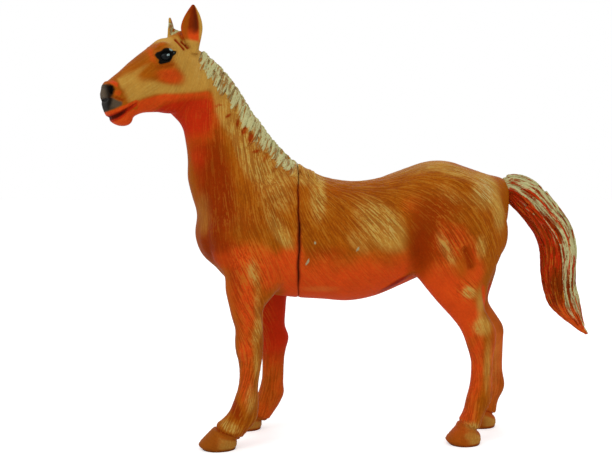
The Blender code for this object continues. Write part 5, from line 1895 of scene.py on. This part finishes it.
# The airbrush on the body's sides: place along and up, half length and height, turn, strength
SIDE_SPRAYS: dict[Paint, tuple[Spray, ...]] = {
    Paint.OCHRE: sprays(
        (-26.0, 108.0, 4.0, 9.0, 25, 0.85), (-23.5, 101.0, 2.8, 6.5, 30, 0.70),
        (-18.3, 92.5, 3.6, 7.5, 22, 0.92), (-13.0, 85.5, 6.5, 4.6, -25, 0.80),
        (-9.5, 78.0, 6.0, 6.0, 0, 0.45), (-8.6, 67.0, 6.0, 2.4, -56, 0.80),
        (3.2, 78.0, 2.4, 7.5, 0, 0.85), (0.5, 83.6, 4.5, 2.3, 0, 0.80),
        (22.5, 68.8, 9.4, 5.6, -48, 0.92), (15.0, 63.5, 5.0, 2.8, -50, 0.40),
        (35.0, 86.8, 12.0, 2.0, 12, 0.45), (47.0, 85.5, 9.0, 2.2, -12, 0.60),
        (14.0, 83.5, 10.0, 1.5, 0, 0.35), (44.0, 78.5, 7.0, 3.0, -30, 0.30),
        (55.2, 79.6, 4.4, 5.6, -20, 1.0), (59.2, 72.5, 2.4, 6.0, 0, 0.65),
        (42.0, 62.0, 6.0, 1.9, -63, 0.62), (53.0, 62.5, 2.0, 4.0, 0, 0.60),
        (49.3, 48.4, 2.3, 1.7, -30, 0.95), (53.4, 45.0, 1.8, 5.6, 0, 0.50),
        (54.0, 37.5, 2.8, 2.8, 0, 0.85), (55.9, 25.0, 1.3, 9.0, 0, 0.55),
        (51.0, 6.2, 2.8, 1.6, -20, 0.70), (50.6, 3.4, 2.2, 1.0, 0, 0.80),
        (62.0, 24.0, 4.5, 16.0, 0, 0.45), (-16.6, 54.5, 2.0, 4.6, 12, 0.55),
        (-15.6, 44.0, 1.2, 7.0, 0, 0.40), (-15.6, 36.5, 1.7, 4.4, -15, 0.55),
        (-15.8, 26.0, 1.2, 6.0, 0, 0.50), (-17.6, 15.5, 2.0, 5.0, 0, 0.60),
        (-24.0, 7.4, 3.4, 1.6, -25, 0.75), (-24.0, 2.0, 2.6, 1.4, 0, 0.60),
        (-32.4, 72.0, 3.0, 8.0, 0, 0.38),
    ),
    # Brown: the coat's darker paint, and painted shade in the flank's hollow ahead of the thigh and in the
    # thigh's crease
    Paint.BROWN: sprays(
        (-29.5, 86.0, 6.0, 13.0, 8, 0.95), (-32.0, 98.0, 5.0, 7.0, 15, 0.75),
        (-27.5, 76.0, 5.5, 9.0, 0, 0.90), (-30.5, 68.0, 4.5, 8.0, 0, 1.0),
        (-19.0, 69.0, 8.0, 6.0, 0, 0.45), (-26.0, 60.5, 6.0, 4.5, 0, 1.0),
        (-12.0, 57.0, 8.0, 5.0, 0, 0.30), (45.0, 66.0, 6.0, 5.0, 0, 0.45),
        (35.6, 64.5, 5.6, 14.0, 0, 1.0), (3.0, 58.0, 7.0, 4.0, 0, 0.40),
        (43.0, 74.5, 6.5, 5.0, 0, 0.55), (50.0, 58.5, 1.6, 5.0, -8, 0.65),
        (44.0, 62.0, 8.0, 6.0, 0, 0.45), (-21.8, 50.5, 2.2, 8.5, 8, 0.85),
        (-20.8, 57.5, 2.6, 3.0, 0, 0.60), (-20.8, 38.0, 1.6, 7.0, 0, 0.50),
        (-22.6, 13.0, 2.0, 5.6, 30, 0.80), (-30.0, 3.5, 3.0, 3.0, 0, 0.50),
        (16.0, 79.0, 14.0, 2.6, 0, 0.35), (50.6, 22.0, 1.2, 12.0, 0, 0.45),
        (46.0, 6.0, 2.0, 3.2, -30, 0.50), (10.0, 68.0, 6.0, 4.0, 0, 0.25),
        (6.0, 61.0, 9.0, 2.4, -6, 0.45),
    ),
    Paint.RED: sprays(
        (-18.0, 59.5, 8.0, 5.4, 0, 0.50), (-28.0, 98.0, 3.0, 8.0, 20, 0.25),
        (-20.0, 47.0, 6.0, 15.0, 6, 0.50), (61.5, 24.0, 6.0, 18.0, 0, 0.80),
        (51.6, 24.0, 2.6, 15.0, -4, 0.75), (48.4, 8.0, 3.4, 4.6, -30, 0.70),
        (-27.0, 58.5, 4.0, 3.4, 0, 0.30), (-12.2, 54.5, 3.0, 6.0, 0, 0.90),
        (-6.5, 57.0, 4.0, 5.0, 0, 0.90), (-18.6, 45.0, 2.0, 10.0, 0, 0.70),
        (-19.2, 30.5, 2.2, 4.6, 0, 0.80), (-18.8, 20.0, 2.8, 8.0, 0, 0.70),
        (31.5, 75.0, 3.6, 3.6, 0, 0.42), (44.5, 64.0, 8.5, 6.0, -20, 0.60),
        (39.5, 51.0, 8.5, 7.6, -40, 1.0), (45.0, 46.0, 4.5, 7.0, -40, 0.95),
        (49.6, 36.5, 2.2, 6.0, -18, 0.90), (48.0, 41.5, 5.0, 5.0, -40, 0.85),
        (53.2, 27.0, 1.4, 10.0, 0, 0.55), (51.5, 55.0, 3.6, 5.0, 0, 0.70),
        (-26.8, 3.4, 2.0, 2.4, 0, 0.40),
    ),
    Paint.CRIMSON: sprays(
        (-33.5, 105.0, 7.0, 7.5, 30, 0.85), (-34.0, 94.0, 5.0, 9.0, 10, 0.40),
        (-33.5, 84.0, 2.6, 8.0, 0, 0.30),
    ),
    Paint.CREAM: sprays(
        (55.2, 79.8, 4.0, 4.8, -20, 0.32), (23.5, 68.5, 6.0, 3.4, -48, 0.16),
    ),
    Paint.CHIP: sprays(
        (-0.3, 57.8, 0.35, 1.8, -28, 0.9), (2.0, 63.8, 0.45, 0.6, 0, 0.8),
        (15.0, 62.0, 0.45, 1.5, -28, 0.75),
    ),
}

# The airbrush on the head: forward and height, half length and height, turn, strength
HEAD_SPRAYS: dict[Paint, tuple[Spray, ...]] = {
    Paint.OCHRE: sprays(
        (3.0, 116.0, 7.5, 8.5, 0, 1.0), (6.5, 122.5, 5.5, 3.8, 10, 1.0),
        (23.4, 111.2, 3.0, 3.6, 20, 0.75), (18.0, 109.8, 4.6, 2.8, -20, 0.80),
        (21.8, 107.6, 2.6, 2.0, -30, 0.75), (12.0, 110.2, 5.0, 1.8, 0, 0.95),
        (11.0, 125.2, 2.6, 1.2, 0, 0.70), (20.2, 115.6, 3.6, 0.8, -38, 0.45),
        (13.2, 124.9, 2.6, 0.8, -20, 0.55),
    ),
    Paint.CREAM: sprays(
        (1.5, 118.0, 4.5, 7.0, 0, 0.18), (22.6, 109.6, 2.4, 2.4, 0, 0.20),
    ),
    # Brown: painted shade below and ahead of the eye
    Paint.BROWN: sprays(
        (14.6, 116.8, 4.2, 1.0, -20, 0.35), (20.0, 118.4, 4.0, 0.6, -38, 0.30),
    ),
    Paint.RED: sprays(
        (11.6, 114.0, 5.2, 2.9, 6, 0.82), (17.4, 120.6, 1.5, 2.6, -25, 0.20),
        (18.6, 117.4, 2.4, 0.8, -35, 0.30), (14.2, 123.2, 1.8, 0.7, -25, 0.40),
    ),
}


@dataclass
class Tail:
    """The plugged-in tail: a core, wavy locks laid along it and fine strands over those."""

    voxel: float = 0.23
    quick_voxel: float = 0.36
    inset: float = 1.1
    line_points: int = 26
    locks: int = 13
    strands: int = 60
    groove_depth: float = 0.30
    sweep: StrandSweep = field(default_factory=lambda: StrandSweep(1.25, 0.30, variation=0.25, rings=26))
    most_triangles: int = 150_000
    # Where the cream begins across the tail, by the place along it
    cream_start: Outline = (
        (0.0, 0.34), (0.12, 0.46), (0.3, 0.58), (0.5, 0.60), (0.65, 0.64), (0.78, 0.74), (1.0, 0.72),
    )

    def core(self, inset: float) -> np.ndarray:
        """The tail's stations, finer and drawn in all round.

        Args:
            inset: How far they are drawn in.

        Returns:
            The stations as rows.
        """
        drawn = []
        for low_x, low_z, high_x, high_z, middle, half_width, widest in TAIL:
            span = np.array([high_x - low_x, high_z - low_z])
            taken = min(inset, 0.4 * np.linalg.norm(span))
            step = span / np.linalg.norm(span) * taken
            edges = (low_x + step[0], low_z + step[1], high_x - step[0], high_z - step[1])
            drawn.append((*edges, middle, max(half_width - inset, 0.3 * half_width), widest))
        return np.array(smoothed(drawn, 6))

    def lines(self, count: int, inset: float, swing: float, luck: np.random.Generator) -> list[np.ndarray]:
        """Wavy lines round the core, root first.

        Args:
            count: How many lines.
            inset: How far inside the outline they lie.
            swing: The most that they wander round the core, in radians.
            luck: The seeded random source.

        Returns:
            Their point rows.
        """
        rows = self.core(inset)
        lines = []
        for index in range(count):
            angle = math.tau * (index + luck.uniform(-0.25, 0.25)) / count
            phase, waves = luck.uniform(0, math.tau), luck.uniform(1.0, 1.9)
            wander = luck.uniform(0.5, 1.0) * swing
            start = luck.uniform(0.0, 0.06) if index % 4 else luck.uniform(0.15, 0.4)
            end = luck.uniform(0.84, 1.0) if index % 3 else luck.uniform(0.60, 0.82)
            line = []
            for t in np.linspace(start, end, self.line_points):
                place = t * (len(rows) - 1)
                station = [np.interp(place, range(len(rows)), rows[:, k]) for k in range(7)]
                turn = angle + wander * math.sin(phase + math.tau * waves * t) * min(1.0, 4 * t)
                line.append(np.array(body_ring(tuple(station), [turn])[0]))
            lines.append(np.array(line))
        return lines

    def build(self, finish: ToyPaint) -> bpy.types.Object:
        """Sculpts and paints the tail.

        Args:
            finish: The paint.

        Returns:
            The piece.
        """
        paint = finish.material("tail_paint")
        luck = np.random.default_rng(SEED + 1)
        clay = Clay()
        sides = 32
        angles = [math.tau * side / sides for side in range(sides)]
        clay.loft([body_ring(tuple(row), angles) for row in self.core(self.inset)])
        clay.add(self.sweep.sweep(self.lines(self.locks, 1.2, 0.30, luck), paint))
        skin = Sculpture(clay.melt(self.voxel, 1))
        self.dress(skin, self.lines(self.strands, 0.3, 0.16, luck), luck)
        skin.settle()
        skin.ruffle(0.6, 3.6, 0.06, luck)
        skin.store()
        form = bmesh.new()
        form.from_mesh(skin.mesh)
        bmesh.ops.triangulate(form, faces=form.faces[:])
        piece = finish_piece(form, "tail_moulding", paint, self.most_triangles)
        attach(piece, "root")
        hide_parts("tail")
        log.info("%s: %d triangles", piece.name, len(piece.data.polygons))
        return piece

    def dress(self, skin: Sculpture, strands: list[np.ndarray], luck: np.random.Generator) -> None:
        """Cuts the strands' grooves, and paints the outer strands cream and the inner ones red.

        Args:
            skin: The tail's skin.
            strands: The fine strands' lines.
            luck: The seeded random source.
        """
        hairs = StrandMap(strands).measure(skin.points, skin.normals)
        edges = self.core(0.0)
        middle = (edges[:, [0, 1]] + edges[:, [2, 3]]) / 2
        x, y, z = skin.points.T
        gaps = (x[:, None] - middle[None, :, 0]) ** 2 + (z[:, None] - middle[None, :, 1]) ** 2
        nearest = gaps.argmin(axis=1)
        span = edges[nearest][:, [2, 3]] - edges[nearest][:, [0, 1]]
        reach = (x - edges[nearest, 0]) * span[:, 0] + (z - edges[nearest, 1]) * span[:, 1]
        share = reach / np.sum(span**2, axis=1)
        along = nearest / (len(edges) - 1)
        groove = smooth_step(0.22, 0.48, hairs.sideways) * smooth_step(0.02, 0.12, along)
        skin.push(groove * self.groove_depth * smooth_step(1.0, 0.85, along))
        skin.masks["comb"][:] = 1.0
        skin.flow = hairs.way
        own = luck.uniform(-0.34, 0.34, len(strands))[hairs.owner] * smooth_step(0.05, 0.25, along)
        start = np.interp(along, *zip(*self.cream_start))
        outer = smooth_step(start - 0.10, start + 0.10, share + own + 0.05 * np.sin(12 * along + 0.5 * y))
        outer *= 1 - groove * 0.75 * smooth_step(0.95, 0.6, share)
        skin.masks["groove"] = groove * (0.35 + 0.65 * (1 - outer))
        skin.cover(Paint.CREAM, outer)
        skin.cover(Paint.BROWN, smooth_step(0.38, 0.52, along) * smooth_step(0.80, 0.68, along) * 0.85)
        skin.cover(Paint.CRIMSON, smooth_step(0.60, 0.45, along))
        skin.cover(Paint.CRIMSON, smooth_step(0.28, 0.10, share) * 0.8)
        skin.cover(Paint.RED, smooth_step(0.62, 0.76, along) * 0.9)
        skin.cover(Paint.CRIMSON, groove * 0.5)


@dataclass
class Eye:
    """A glossy ball seated in its socket."""

    side: Side
    tilt: float = math.radians(-20)
    most_triangles: int = 40_000
    # The painted glints: forward and height from the eye's middle, radius and strength
    glints: tuple[Row, ...] = (
        (-0.30, 0.38, 0.36, 0.9),
        (-0.90, 0.60, 0.36, 1.0),
        (0.40, -0.85, 0.42, 0.30),
    )

    def build(self, paint: bpy.types.Material) -> bpy.types.Object:
        """Makes the ball.

        Args:
            paint: The gloss.

        Returns:
            The piece.
        """
        name = f"{self.side.name.lower()}_eye"
        form = bmesh.new()
        centre = head_point(EYE_SPOT[0], -self.side.value * EYE_OUT, EYE_SPOT[1])
        matrix = Matrix.Translation(centre) @ Matrix.Rotation(HEAD_TURN, 4, "Z")
        matrix = matrix @ Matrix.Rotation(self.tilt, 4, "Y") @ Matrix.Diagonal((*EYE_HALVES, 1.0))
        bmesh.ops.create_icosphere(form, subdivisions=5, radius=1.0, matrix=matrix)
        points = np.array([vertex.co for vertex in form.verts])
        forward, _, height = head_frame(points).T
        dx, dz = forward - EYE_SPOT[0], height - EYE_SPOT[1]
        ring = np.hypot(dx, dz) / EYE_HALVES[2]
        lobes = [
            strength * np.exp(-np.hypot(dx - ahead, dz - up) ** 2 / size**2)
            for ahead, up, size, strength in self.glints
        ]
        piece = finish_piece(form, name, paint, self.most_triangles)
        set_mask(piece.data, "iris", np.exp(-(((ring - 0.62) / 0.22) ** 2)))
        set_mask(piece.data, "glint", np.clip(sum(lobes), 0, 1))
        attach(piece, "root")
        log.info("%s: %d triangles", piece.name, len(piece.data.polygons))
        return piece


@dataclass
class Studio:
    """A white floor and soft lamps, and the photograph's view."""

    camera_place: tuple[float, float, float] = (-0.03007, -0.28311, 0.080)
    camera_aim: tuple[float, float, float] = (-0.01515, 0.0015, 0.0672)
    lens: float = 52.44
    ambient: float = 0.72
    # Each lamp's name, place in metres, power in watts and side in metres
    lamps: tuple[tuple[str, tuple[float, float, float], float, float], ...] = (
        ("key_lamp", (-0.35, -0.45, 0.62), 1.5, 0.45),
        ("fill_lamp", (0.55, -0.40, 0.35), 0.5, 0.5),
        ("back_lamp", (0.15, 0.55, 0.55), 0.7, 0.5),
    )

    def build(self) -> None:
        """Makes the camera, the lamps, the floor and the world."""
        self.camera()
        for lamp in self.lamps:
            self.lamp(*lamp)
        self.floor()
        self.world()

    def camera(self) -> None:
        """Sets the photograph's view."""
        data = bpy.data.cameras.new("photo_view")
        data.lens = self.lens
        data.sensor_width = 36.0
        data.clip_start = 0.01
        camera = linked("photo_view", data)
        camera.location = self.camera_place
        aim = Vector(self.camera_aim) - Vector(self.camera_place)
        camera.rotation_euler = aim.to_track_quat("-Z", "Y").to_euler()
        bpy.context.scene.camera = camera
        bpy.context.scene.view_settings.view_transform = "Standard"

    def lamp(self, name: str, place: tuple[float, float, float], power: float, size: float) -> None:
        """Hangs one square soft lamp that points at the figure.

        Args:
            name: The lamp's name.
            place: Where it hangs, in metres.
            power: Its power in watts.
            size: Its side in metres.
        """
        data = bpy.data.lights.new(name, "AREA")
        data.energy = power
        data.size = size
        lamp = linked(name, data)
        lamp.location = place
        aim = Vector((0, 0, 0.06)) - Vector(place)
        lamp.rotation_euler = aim.to_track_quat("-Z", "Y").to_euler()

    def floor(self) -> None:
        """Lays a pale floor that keeps the figure's shadow."""
        form = bmesh.new()
        bmesh.ops.create_grid(form, x_segments=1, y_segments=1, size=6.0)
        floor = linked("floor", mesh_of(form, "floor"))
        material, shop, shader = new_material("white_floor")
        shader.inputs["Base Color"].default_value = (0.86, 0.86, 0.86, 1.0)
        shader.inputs["Roughness"].default_value = 0.9
        shader.inputs["Specular IOR Level"].default_value = 0.0
        seen = shop.add("ShaderNodeLightPath", {}, {}, "Is Camera Ray")
        glow = shop.add("ShaderNodeEmission", {}, {"Color": (1.0, 1.0, 1.0, 1.0), "Strength": 0.46})
        lit = Wire(shop, shader.outputs[0])
        both = shop.add("ShaderNodeAddShader", {}, {0: lit, 1: glow})
        chosen = shop.add("ShaderNodeMixShader", {}, {0: seen, 1: lit, 2: both})
        output = material.node_tree.nodes["Material Output"]
        shop.join(chosen, output.inputs["Surface"])
        floor.data.materials.append(material)

    def world(self) -> None:
        """Surrounds the figure with even light, seen as white."""
        world = bpy.data.worlds.new("studio")
        bpy.context.scene.world = world
        world.use_nodes = True
        shop = NodeShop(world.node_tree)
        path = world.node_tree.nodes.new("ShaderNodeLightPath")
        names = ("Is Camera Ray", "Is Glossy Ray", "Is Transmission Ray")
        camera, glossy, through = (Wire(shop, path.outputs[name]) for name in names)
        seen = (camera + glossy + through).step(0.0, 1.0)
        background = world.node_tree.nodes["Background"]
        background.inputs["Color"].default_value = (1.0, 1.0, 1.0, 1.0)
        strength = seen * (1.0 - self.ambient) + self.ambient
        shop.join(strength, background.inputs["Strength"])


def main() -> None:
    """Builds the figure and its studio."""
    logging.basicConfig(level=logging.INFO, format="%(message)s")
    finish = ToyPaint()
    Horse().build(finish)
    Tail().build(finish)
    gloss = EyeGloss().material("eye_gloss")
    for side in Side:
        Eye(side).build(gloss)
    Studio().build()


if __name__ == "__main__":
    main()
